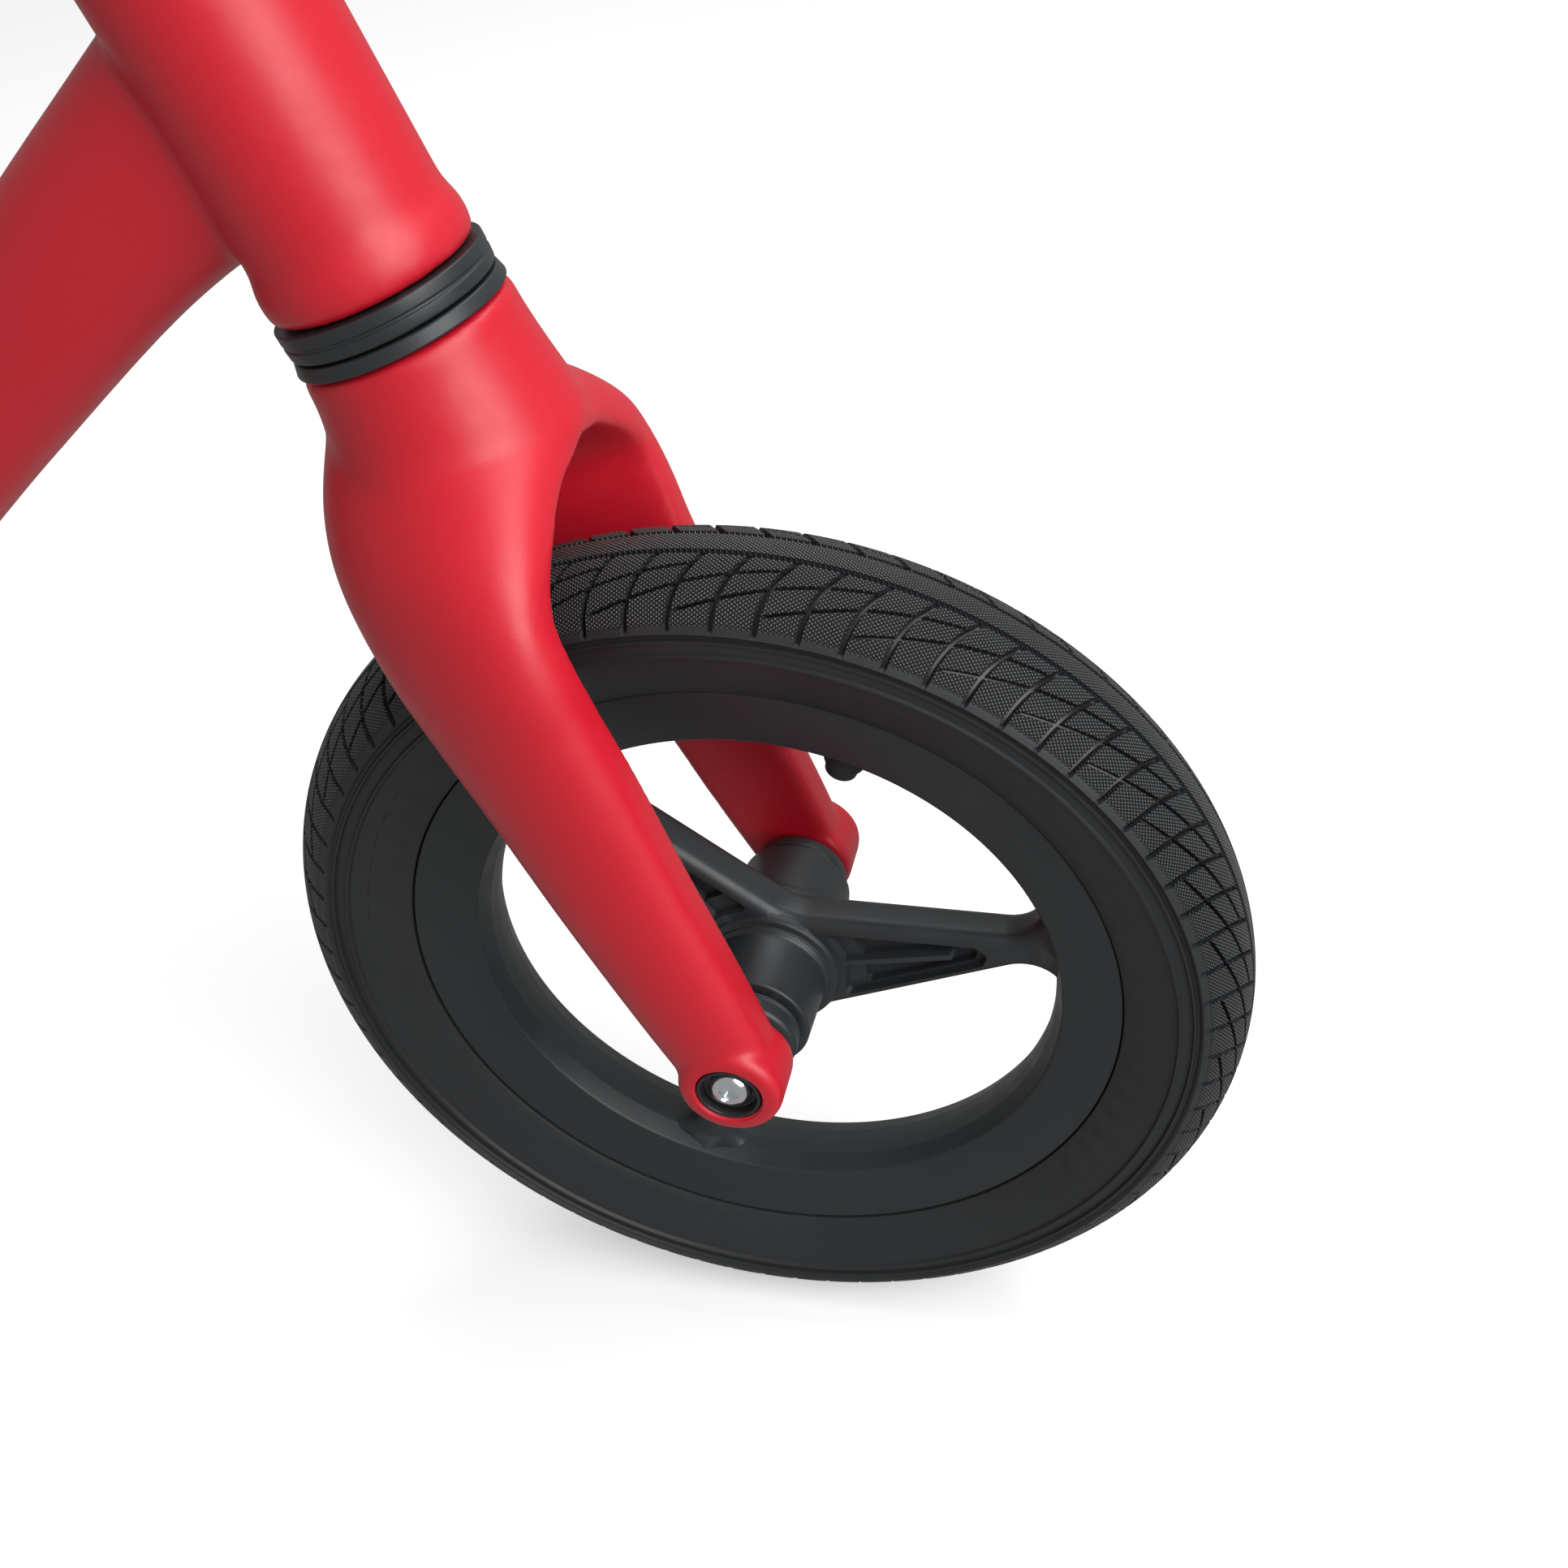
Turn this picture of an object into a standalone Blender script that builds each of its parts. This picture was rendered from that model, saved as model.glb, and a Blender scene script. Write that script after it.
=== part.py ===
"""Balance bike for a small child: cast one-piece frame and fork, moulded three-spoke wheels.

Metres, +Z up.  The origin is on the floor, midway between the two wheels.
+X is the riding direction and -Y is the rider's right-hand side.
"""
import math

import bmesh
import bpy
from mathutils import Matrix, Vector

MM = 0.001
GAP = 0.3                      # between touching or nested pieces, in millimetres

# ---- driving dimensions, in millimetres ------------------------------------------------------
TYRE_RADIUS = 156.0            # a 12 1/2 x 2 1/4 inch tyre is 312 mm across
TYRE_SECTION = 28.2            # half of its 57 mm width
WHEELBASE = 560.0
HEAD_TILT = math.radians(20)   # steering axis and seat tube lean back by this much
AXLE_HALF = 63.7               # half the width over the fork's and the frame's bosses
BOSS_RADIUS = 16.3
BOSS_INNER = 42.9              # inner faces of the bosses

SECTION_CENTRE = TYRE_RADIUS - TYRE_SECTION - 0.9
SHOULDER = (143.0, 22.3)       # radius and half width where the tread turns into the sidewall
SIDEWALL_RIB = (134.0, 24.0)   # widest ring of the sidewall
SIDEWALL_FOOT = (115.3, 16.3)  # where the sidewall meets the rim flange
RIM_EDGE = (95.2, 12.2)        # inner edge of the rim
RIM_SEAT = 103.5               # floor of the rim's channel
FLANGE_INSIDE = 12.0           # half the channel's width at its mouth
RIM_MIDDLE = 92.6              # the rim's smallest inner radius, at its middle
HUB_RADIUS = 24.0              # disc that the spokes grow out of
BARREL_RADIUS = 18.2
HUB_HALF = 33.0
SPOKES = 3
SPOKE_HALF_THICK = 8.0
SPOKE_WIDE = 18.5              # half width of a spoke at the hub
SPOKE_NARROW = 7.0             # and at the rim
FRONT_SPOKE_ANGLE = math.radians(11)
REAR_SPOKE_ANGLE = math.radians(50)
VALVE_FROM_SPOKE = math.radians(60)

AXLE_RADIUS = 6.0
BEARING = (6.3, 14.0)          # bore and outside radius
BEARING_SPAN = (24.0, 32.0)    # inner and outer face, from the wheel's middle
SPACER_RADIUS = 15.9
CUP_RADIUS = 10.1
CUP_FLOOR = 59.7
BOLT_HEAD = 6.6
BOLT_SHANK = 3.9
CUP_WALL = 1.1
SCREW_RADIUS = 2.5             # all the smaller socket-head screws
SCREW_HEAD = 4.2               # their head's radius and height

CROWN_TOP = 228.5              # up the steering axis from the front axle
SOCKET_FLOOR = 206.0            # bottom of the steerer's socket in the crown
HEAD_TUBE = (241.5, 345.0)
HEAD_RADIUS = 27.0
HEADSET_RADIUS = 29.4
STEERER_RADIUS = 12.7
STEERER_BORE = 11.4
STEERER_TOP = 374.0
POST_RADIUS = 11.1
BAR_HEIGHT = 436.0             # handlebar clamp, up the steering axis
BAR_REACH = 27.0
BAR_HALF = 200.0

SEAT_FOOT = (-98.0, 236.0)     # where the seat tube crosses the main beam (x, z)
SEAT_TUBE = (-46.0, 45.0)      # ends of the seat tube along its axis from SEAT_FOOT
SEAT_TUBE_RADIUS = 18.0
SEATPOST_RADIUS = 13.6
SEATPOST_TOP = 84.0
RAIL_RADIUS = 3.5
RAIL_HALF = 22.0

TYRE_STEPS = 32
ROUND_STEPS = 16
SMALL_STEPS = 12

STAGGER = Matrix.Rotation(math.radians(5), 4, "Z")          # keeps a bore's facets off its boss's
HALF_STEP = Matrix.Rotation(math.pi / TYRE_STEPS, 4, "Z")   # a flat of the tyre faces down

FRONT_AXLE = Vector((WHEELBASE / 2, 0, TYRE_RADIUS))
REAR_AXLE = Vector((-WHEELBASE / 2, 0, TYRE_RADIUS))

RED = ("cast_red", (0.72, 0.012, 0.035), 0.42, 0.0)
BLACK = ("moulded_black", (0.02, 0.022, 0.024), 0.45, 0.0)
RUBBER = ("tyre_rubber", (0.025, 0.026, 0.028), 0.75, 0.0)
SOFT = ("grip_rubber", (0.03, 0.03, 0.032), 0.8, 0.0)
PAINT = ("black_paint", (0.018, 0.018, 0.02), 0.35, 0.2)
ZINC = ("zinc_steel", (0.62, 0.64, 0.66), 0.25, 1.0)
STEEL = ("bearing_steel", (0.5, 0.5, 0.52), 0.3, 1.0)
COVER = ("saddle_cover", (0.03, 0.03, 0.033), 0.6, 0.0)


# ---- helpers ---------------------------------------------------------------------------------
def collection(name):
    found = bpy.data.collections.new(name)
    bpy.context.scene.collection.children.link(found)
    return found


def material(spec):
    name, colour, roughness, metallic = spec
    found = bpy.data.materials.get(name)
    if found:
        return found
    made = bpy.data.materials.new(name)
    made.use_nodes = True
    shader = made.node_tree.nodes["Principled BSDF"]
    shader.inputs["Base Color"].default_value = (*colour, 1)
    shader.inputs["Roughness"].default_value = roughness
    shader.inputs["Metallic"].default_value = metallic
    return made


def add(name, mesh, spec, parent=None, place=None):
    """Put a mesh in the object's collection, in its parent's space."""
    mesh.materials.clear()
    mesh.materials.append(material(spec))
    obj = bpy.data.objects.new(name, mesh)
    PARTS.objects.link(obj)
    obj.parent = parent
    if place is not None:
        obj.matrix_basis = place
    return obj


def as_tool(obj):
    """Turn an object into a Boolean operand that isn't part of the model."""
    PARTS.objects.unlink(obj)
    TOOLS.objects.link(obj)
    obj.hide_render = True
    obj.display_type = "WIRE"
    return obj


def boolean(obj, tool, operation):
    mod = obj.modifiers.new(operation.lower(), "BOOLEAN")
    mod.operation = operation
    mod.solver = "EXACT"
    mod.object = as_tool(tool)


def empty(name, location, rotation=(0, 0, 0), parent=None):
    obj = bpy.data.objects.new(name, None)
    PARTS.objects.link(obj)
    obj.location = location
    obj.rotation_euler = rotation
    obj.parent = parent
    return obj


def shift(x=0.0, y=0.0, z=0.0):
    return Matrix.Translation(Vector((x, y, z)) * MM)


def flipped():
    """Half a turn about X, which carries a right-hand piece to the left."""
    return Matrix.Rotation(math.pi, 4, "X")


def turned(name, profile, spec, steps=ROUND_STEPS, parent=None, place=None, closed=True):
    """A turned piece about local Z.  The profile is (radius, height), down its outer side."""
    mesh = bpy.data.meshes.new(name)
    shape = bmesh.new()
    verts = [shape.verts.new((r * MM, 0, h * MM)) for r, h in profile]
    for a, b in zip(verts, verts[1:]):
        shape.edges.new((a, b))
    if closed:
        shape.edges.new((verts[-1], verts[0]))
    shape.to_mesh(mesh)
    shape.free()
    obj = add(name, mesh, spec, parent, place)
    screw = obj.modifiers.new("turn", "SCREW")
    screw.axis = "Z"
    screw.steps = steps
    screw.render_steps = steps
    screw.use_merge_vertices = True
    screw.merge_threshold = 0.00001
    screw.use_smooth_shade = True
    return obj


def ring(name, inner, outer, low, high, spec, **rest):
    profile = [(outer, high), (outer, low), (inner, low), (inner, high)]
    return turned(name, profile, spec, **rest)


def rod(name, radius, low, high, spec, **rest):
    profile = [(0, high), (radius, high), (radius, low), (0, low)]
    return turned(name, profile, spec, closed=False, **rest)


def block(name, low, high, spec, parent=None, place=None, bevel=0.0):
    """A box between two corners, in millimetres."""
    mesh = bpy.data.meshes.new(name)
    shape = bmesh.new()
    bmesh.ops.create_cube(shape, size=1)
    low, high = Vector(low) * MM, Vector(high) * MM
    bmesh.ops.scale(shape, vec=high - low, verts=shape.verts)
    bmesh.ops.translate(shape, vec=(low + high) / 2, verts=shape.verts)
    shape.to_mesh(mesh)
    shape.free()
    obj = add(name, mesh, spec, parent, place)
    if bevel:
        mod = obj.modifiers.new("round", "BEVEL")
        mod.width = bevel * MM
        mod.segments = 1
    return obj


def loft(name, rings, spec, parent=None, place=None):
    """Closed skin through rings of equal point counts, with a fan on each end."""
    mesh = bpy.data.meshes.new(name)
    shape = bmesh.new()
    rows = [[shape.verts.new(Vector(p) * MM) for p in one] for one in rings]
    count = len(rows[0])
    for lower, upper in zip(rows, rows[1:]):
        for i in range(count):
            j = (i + 1) % count
            shape.faces.new((lower[i], lower[j], upper[j], upper[i]))
    for row in (rows[0], rows[-1]):
        shape.faces.new(row)
    bmesh.ops.recalc_face_normals(shape, faces=shape.faces)
    for face in shape.faces:
        face.smooth = True
    shape.to_mesh(mesh)
    shape.free()
    mesh.set_sharp_from_angle(angle=math.radians(50))
    return add(name, mesh, spec, parent, place)


def tube(name, points, radius, spec, parent=None):
    """A bent bar or wire through points in millimetres."""
    curve = bpy.data.curves.new(name, "CURVE")
    curve.dimensions = "3D"
    curve.bevel_depth = radius * MM
    curve.bevel_resolution = 2
    curve.use_fill_caps = True
    line = curve.splines.new("POLY")
    line.points.add(len(points) - 1)
    for slot, point in zip(line.points, points):
        slot.co = (*(Vector(point) * MM), 1)
    line.use_smooth = True
    curve.materials.append(material(spec))
    obj = bpy.data.objects.new(name, curve)
    PARTS.objects.link(obj)
    obj.parent = parent
    return obj


def smooth_path(points, steps):
    """Catmull-Rom curve through the points, with so many steps between neighbours."""
    ends = [2 * Vector(points[0]) - Vector(points[1])]
    ends += [Vector(p) for p in points]
    ends += [2 * Vector(points[-1]) - Vector(points[-2])]
    path = []
    for a, b, c, d in zip(ends, ends[1:], ends[2:], ends[3:]):
        for i in range(steps):
            t = i / steps
            path.append(((2 * b) + (c - a) * t + (2 * a - 5 * b + 4 * c - d) * t ** 2
                         + (3 * b - a - 3 * c + d) * t ** 3) / 2)
    return path + [ends[-2]]


def oval(centre, long_axis, short_axis, count=12, power=2.3):
    """A rounded ring about a centre; the axes carry the half widths."""
    points = []
    for i in range(count):
        angle = 2 * math.pi * (i + 0.5) / count
        c, s = math.cos(angle), math.sin(angle)
        reach = (abs(c) ** power + abs(s) ** power) ** (-1 / power)
        points.append(centre + long_axis * c * reach + short_axis * s * reach)
    return points


def arch(stations):
    """Rings of a cast fork: two legs and the bridge between them.

    A station is (height, side, middle, half depth, half thickness, tilt): its height up the legs,
    its distance from the centre plane, and the section there.  Local X is the section's depth,
    which dips forward by the tilt.
    """
    right = [Vector((m, -y, h)) for h, y, m, _, _, _ in stations]
    spine = right + [Vector((p.x, -p.y, p.z)) for p in reversed(right[:-1])]
    sizes = [row[3:] for row in stations]
    sizes += list(reversed(sizes[:-1]))
    rings = []
    for i, (point, (depth, thick, tilt)) in enumerate(zip(spine, sizes)):
        ahead = spine[min(i + 1, len(spine) - 1)] - spine[max(i - 1, 0)]
        side = Vector((0, ahead.z, -ahead.y)).normalized()
        rings.append(oval(point, dipped(depth, tilt), side * thick))
    return rings


def dipped(reach, tilt):
    """Vector of a length along local X, dipping by an angle in degrees."""
    angle = math.radians(tilt)
    return Vector((math.cos(angle), 0, -math.sin(angle))) * reach


def bosses(obj, parent, place=Matrix()):
    """Join the axle bosses to a fork's legs and bore them for bolt and cup."""
    across = place @ Matrix.Rotation(math.pi / 2, 4, "X")
    for label, turn in (("right", Matrix()), ("left", flipped())):
        rounded = [(0, AXLE_HALF), (BOSS_RADIUS - 3, AXLE_HALF), (BOSS_RADIUS, AXLE_HALF - 3),
                   (BOSS_RADIUS, BOSS_INNER + 1.5), (BOSS_RADIUS - 1.5, BOSS_INNER), (0, BOSS_INNER)]
        tool = turned(obj.name + "_boss_" + label, rounded, RED, ROUND_STEPS, parent, across @ turn,
                      closed=False)
        boolean(obj, tool, "UNION")
    for label, turn in (("right", Matrix()), ("left", flipped())):
        floor = CUP_FLOOR - CUP_WALL - GAP
        seat = rod(obj.name + "_seat_" + label, CUP_RADIUS + GAP, floor, AXLE_HALF + 5, RED,
                   steps=ROUND_STEPS, parent=parent, place=across @ turn @ STAGGER)
        boolean(obj, seat, "DIFFERENCE")
    bore = rod(obj.name + "_bore", BOLT_SHANK + GAP, -AXLE_HALF, AXLE_HALF, RED,
               steps=SMALL_STEPS, parent=parent, place=across @ STAGGER)
    boolean(obj, bore, "DIFFERENCE")


# ---- wheels ----------------------------------------------------------------------------------
def tyre(name, axle):
    """Tyre casing: tread, sidewalls and beads, open towards the rim."""
    grow = 1 / math.cos(math.pi / TYRE_STEPS)
    wall = 4.0
    outer = [(TYRE_RADIUS * grow, 6.0), (TYRE_RADIUS - 5.2, 15.8), SHOULDER, SIDEWALL_RIB, SIDEWALL_FOOT]
    bead = [(SIDEWALL_FOOT[0], FLANGE_INSIDE - GAP), (RIM_SEAT + GAP, FLANGE_INSIDE - 0.8 - GAP)]
    inner = [(RIM_SEAT + GAP, 6.8), (SIDEWALL_RIB[0], SIDEWALL_RIB[1] - wall), (TYRE_RADIUS - 7.0, 9.0)]
    profile = [(r, h) for r, h in reversed(outer)]
    profile += [(r, -h) for r, h in outer + bead + inner]
    profile += [(r, h) for r, h in reversed(bead + inner)]
    return turned(name, profile, RUBBER, TYRE_STEPS, axle, HALF_STEP)


def inner_tube(name, axle):
    """Air tube inside the casing."""
    centre, radius = SECTION_CENTRE + 1, 13.0
    angles = [math.pi / 3 * (0.5 - k) for k in range(6)]
    points = [(centre + radius * math.cos(a), radius * math.sin(a)) for a in angles]
    return turned(name, points, SOFT, 24, axle)


def rim_profile():
    """Channel section of the moulded rim, about its middle plane."""
    top = SIDEWALL_FOOT[0] - GAP
    half = [(RIM_SEAT, FLANGE_INSIDE - 0.8), (top, FLANGE_INSIDE), (top, SIDEWALL_FOOT[1] - 0.7), RIM_EDGE,
            (RIM_MIDDLE, 6.0)]
    return [(r, -h) for r, h in half] + [(r, h) for r, h in reversed(half)]


def spoke(name, axle, angle):
    """Tapered spoke with drafted sides, from the hub to the rim."""
    rings = []
    for reach, half in ((HUB_RADIUS - 6, SPOKE_WIDE), (40, 14.0), (66, 9.0), (80, SPOKE_NARROW),
                        (88, SPOKE_NARROW + 3.5), (RIM_EDGE[0] + 1.5, SPOKE_NARROW + 13)):
        draft = half - 1.2
        t = SPOKE_HALF_THICK
        rings.append([Vector((reach, w, h)) for w, h in
                      ((draft, t), (-draft, t), (-half, 0), (-draft, -t), (draft, -t), (half, 0))])
    return loft(name, rings, BLACK, axle, Matrix.Rotation(angle, 4, "Z"))


def spoke_pocket(name, axle, angle, side):
    """Triangular recess in a spoke's face."""
    rings = []
    for height in (SPOKE_HALF_THICK - 4.5, SPOKE_HALF_THICK + 2):
        corners = ((27, 11.5), (71, 2.6), (71, -2.6), (27, -11.5))
        rings.append([Vector((x, y, side * height)) for x, y in corners])
    return loft(name, rings, BLACK, axle, Matrix.Rotation(angle, 4, "Z"))


def wheel(name, axle, first_angle):
    """Moulded wheel: rim, three spokes and hub in one piece, bored for its bearings."""
    body = turned(name, rim_profile(), BLACK, TYRE_STEPS, axle, HALF_STEP)
    for k in range(SPOKES):
        angle = first_angle + 2 * math.pi * k / SPOKES
        boolean(body, spoke("%s_spoke_%d" % (name, k), axle, angle), "UNION")
    half = [(0, HUB_HALF), (BARREL_RADIUS, HUB_HALF), (BARREL_RADIUS, SPOKE_HALF_THICK + 5),
            (HUB_RADIUS - 2, SPOKE_HALF_THICK + 2), (HUB_RADIUS, SPOKE_HALF_THICK + 0.6)]
    barrel = half + [(r, -h) for r, h in reversed(half)]
    boolean(body, turned(name + "_hub", barrel, BLACK, ROUND_STEPS, axle, closed=False), "UNION")
    for k in range(SPOKES):
        angle = first_angle + 2 * math.pi * k / SPOKES
        for label, side in (("right", 1), ("left", -1)):
            pocket = spoke_pocket("%s_pocket_%d_%s" % (name, k, label), axle, angle, side)
            boolean(body, pocket, "DIFFERENCE")
    inner, outer = BEARING_SPAN[0] - GAP, HUB_HALF + 5
    seat, through = BEARING[1] + GAP, AXLE_RADIUS + 1.2
    bore = [(0, outer), (seat, outer), (seat, inner), (through, inner),
            (through, -inner), (seat, -inner), (seat, -outer), (0, -outer)]
    boolean(body, turned(name + "_bore", bore, BLACK, ROUND_STEPS, axle, closed=False), "DIFFERENCE")
    hole = rod(name + "_valve_hole", 4.6, 80, 130, BLACK, steps=SMALL_STEPS, parent=axle,
               place=valve_place(first_angle))
    boolean(body, hole, "DIFFERENCE")
    return body


def valve_place(first_angle):
    """The valve stands on the rim midway between two spokes, pointing at the hub."""
    angle = first_angle + VALVE_FROM_SPOKE
    return Matrix.Rotation(angle, 4, "Z") @ Matrix.Rotation(math.pi / 2, 4, "Y")


def wheel_set(end, axle, first_angle):
    """Everything on one axle."""
    tyre(end + "_tyre", axle)
    inner_tube(end + "_inner_tube", axle)
    wheel(end + "_wheel", axle, first_angle)
    stem = [(0, 107), (4.2, 107), (4.2, 92), (6.2, 91), (6.2, 86), (4.0, 83), (0, 83)]
    turned(end + "_valve", stem, SOFT, SMALL_STEPS, axle, valve_place(first_angle), closed=False)
    ring(end + "_axle", BOLT_SHANK + GAP, AXLE_RADIUS, -BOSS_INNER + GAP, BOSS_INNER - GAP, STEEL,
         steps=SMALL_STEPS, parent=axle)
    for label, turn in (("right", Matrix()), ("left", flipped())):
        rest = {"parent": axle, "place": turn}
        ring("%s_bearing_%s" % (end, label), *BEARING, *BEARING_SPAN, STEEL, **rest)
        low, high = BEARING_SPAN[1] + GAP, BOSS_INNER - GAP
        spacer = [(SPACER_RADIUS, high), (SPACER_RADIUS, HUB_HALF + 0.8), (9.5, HUB_HALF + 0.4),
                  (9.5, low), (BEARING[0], low), (BEARING[0], high)]
        turned("%s_spacer_%s" % (end, label), spacer, BLACK, ROUND_STEPS, **rest)
        floor, top = CUP_FLOOR, AXLE_HALF - 0.5
        cup = [(CUP_RADIUS, top), (CUP_RADIUS, floor - CUP_WALL), (BOLT_SHANK + GAP, floor - CUP_WALL),
               (BOLT_SHANK + GAP, floor), (9.4, floor), (9.9, top)]
        turned("%s_axle_cup_%s" % (end, label), cup, PAINT, ROUND_STEPS, **rest)
        axle_bolt("%s_axle_bolt_%s" % (end, label), axle, turn)


def axle_bolt(name, axle, turn):
    """Button-head bolt with a hex socket."""
    seat = CUP_FLOOR + GAP
    shape = [(0, seat + 3.7), (3.4, seat + 3.6), (5.4, seat + 2.6), (BOLT_HEAD, seat + 0.8),
             (BOLT_HEAD, seat), (BOLT_SHANK, seat), (BOLT_SHANK, 30), (0, 30)]
    bolt = turned(name, shape, ZINC, SMALL_STEPS, axle, turn, closed=False)
    socket = rod(name + "_socket", 2.9, seat + 1.2, seat + 6, ZINC, steps=6, parent=axle, place=turn)
    boolean(bolt, socket, "DIFFERENCE")
    return bolt


# ---- fork, headset and steerer ---------------------------------------------------------------
FORK_STATIONS = (              # height, side, middle, half depth, half thickness, tilt in degrees
    (-2, 53.3, 0.2, 15.5, 9.6, 0),
    (30, 53.0, -0.3, 18.3, 10.4, 0),
    (70, 52.4, -1.3, 20.4, 11.0, 0),
    (106, 51.6, -2.1, 21.9, 11.8, 3),
    (132, 50.6, -3.1, 23.3, 12.3, 7),
    (152, 48.5, -3.8, 24.8, 12.8, 11),
    (171, 42.5, -4.2, 26.8, 12.4, 15),
    (185, 32.5, -3.6, 29.6, 12.0, 17),
    (199, 17.0, -1.8, 32.2, 13.0, 18),
    (206, 0.0, -0.4, 33.6, 14.0, 18),
)
NECK_STATIONS = (              # height, middle, half depth, half width, tilt in degrees
    (228.5, 0, 30.0, 30.0, 0),
    (221, 0, 29.6, 29.6, 4),
    (212, 0, 30.8, 31.0, 11),
    (203, 0, 32.4, 33.5, 18),
)


def fork(steer):
    """Cast fork: two legs, crown and neck."""
    body = loft("fork", arch(FORK_STATIONS), RED, steer)
    neck = [oval(Vector((x, 0, h)), dipped(deep, tilt), Vector((0, wide, 0)), 16, 2.0)
            for h, x, deep, wide, tilt in NECK_STATIONS]
    boolean(body, loft("fork_neck", neck, RED, steer), "UNION")
    bosses(body, steer, Matrix.Rotation(HEAD_TILT, 4, "Y"))
    socket = rod("fork_socket", STEERER_RADIUS + GAP, SOCKET_FLOOR, CROWN_TOP + 9, RED, parent=steer)
    boolean(body, socket, "DIFFERENCE")
    return body


def headset(steer):
    """Bearings, cups and covers between the fork and the head tube, and the steerer."""
    low, high = HEAD_TUBE
    bore = STEERER_RADIUS + GAP
    ring("steerer_tube", STEERER_BORE, STEERER_RADIUS, SOCKET_FLOOR + 0.6, STEERER_TOP, STEEL, parent=steer)
    r = HEADSET_RADIUS
    cover = [(r - 0.4, CROWN_TOP + 4.2), (r + 0.8, CROWN_TOP + GAP), (bore, CROWN_TOP + GAP),
             (bore, CROWN_TOP + 4.2)]
    turned("lower_headset_cover", cover, BLACK, ROUND_STEPS, steer)
    for end, face, way in (("lower", low, -1), ("upper", high, 1)):
        seat = face + way * GAP
        lip = face + way * 8.2
        floor = face + way * 1.3
        skirt = face - way * 13
        profile = [(r, lip), (r, seat), (17.7, seat), (17.7, skirt), (15.4, skirt),
                   (15.4, floor), (20.8, floor), (20.8, lip)]
        if way < 0:
            profile.reverse()
        turned(end + "_headset_cup", profile, BLACK, ROUND_STEPS, steer)
        inner, outer = sorted((floor + way * GAP, lip - way * 0.2))
        ring(end + "_headset_bearing", bore, 20.5, inner, outer, STEEL, parent=steer)
    top = high + 8.2 + GAP
    cap = [(17.0, top + 7), (r - 1, top + 2.4), (r, top), (bore, top), (bore, top + 7)]
    turned("upper_headset_cover", cap, BLACK, ROUND_STEPS, steer)
    collar_low = top + 7 + GAP
    collar("steerer_clamp", steer, bore, 18.6, collar_low, collar_low + 12)


def collar(name, parent, inner, outer, low, high):
    """Split clamp collar with ears and a pinch bolt behind it."""
    body = ring(name, inner, outer, low, high, PAINT, steps=ROUND_STEPS, parent=parent)
    ears = block(name + "_ears", (-outer - 9, -7, low + 0.7), (-outer + 2, 7, high - 0.7), PAINT, parent)
    boolean(body, ears, "UNION")
    slit = block(name + "_slit", (-outer - 12, -1.1, low - 4), (-inner + 5, 1.1, high + 4), PAINT, parent)
    boolean(body, slit, "DIFFERENCE")
    middle = (low + high) / 2
    across = shift(x=-outer - 4, z=middle) @ Matrix.Rotation(math.pi / 2, 4, "X")
    hole = rod(name + "_hole", SCREW_RADIUS + GAP, -12, 12, PAINT, steps=8, parent=parent, place=across)
    boolean(body, hole, "DIFFERENCE")
    pinch_bolt(name + "_bolt", parent, across, 7 + GAP, -8.6)


def pinch_bolt(name, parent, place, seat, end):
    """Socket-head screw along local Z, its head above the seat."""
    top = seat + SCREW_HEAD
    shape = [(0, top), (SCREW_HEAD, top), (SCREW_HEAD, seat),
             (SCREW_RADIUS, seat), (SCREW_RADIUS, end), (0, end)]
    bolt = turned(name, shape, ZINC, SMALL_STEPS, parent, place, closed=False)
    socket = rod(name + "_socket", SCREW_RADIUS, seat + 1.2, top + 3, ZINC, steps=6,
                 parent=parent, place=place)
    boolean(bolt, socket, "DIFFERENCE")
    return bolt


# ---- handlebar -------------------------------------------------------------------------------
BAR_BEND = ((0, 23, 0), (0, 38, 3), (-1, 56, 16), (-3, 76, 34), (-6, 98, 41))
BAR_SWEEP = math.radians(9)
FACEPLATE = 17.0                # from the bar's middle to the faceplate's front
COUNTERBORE = 4.7               # depth that hides a screw's head


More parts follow.
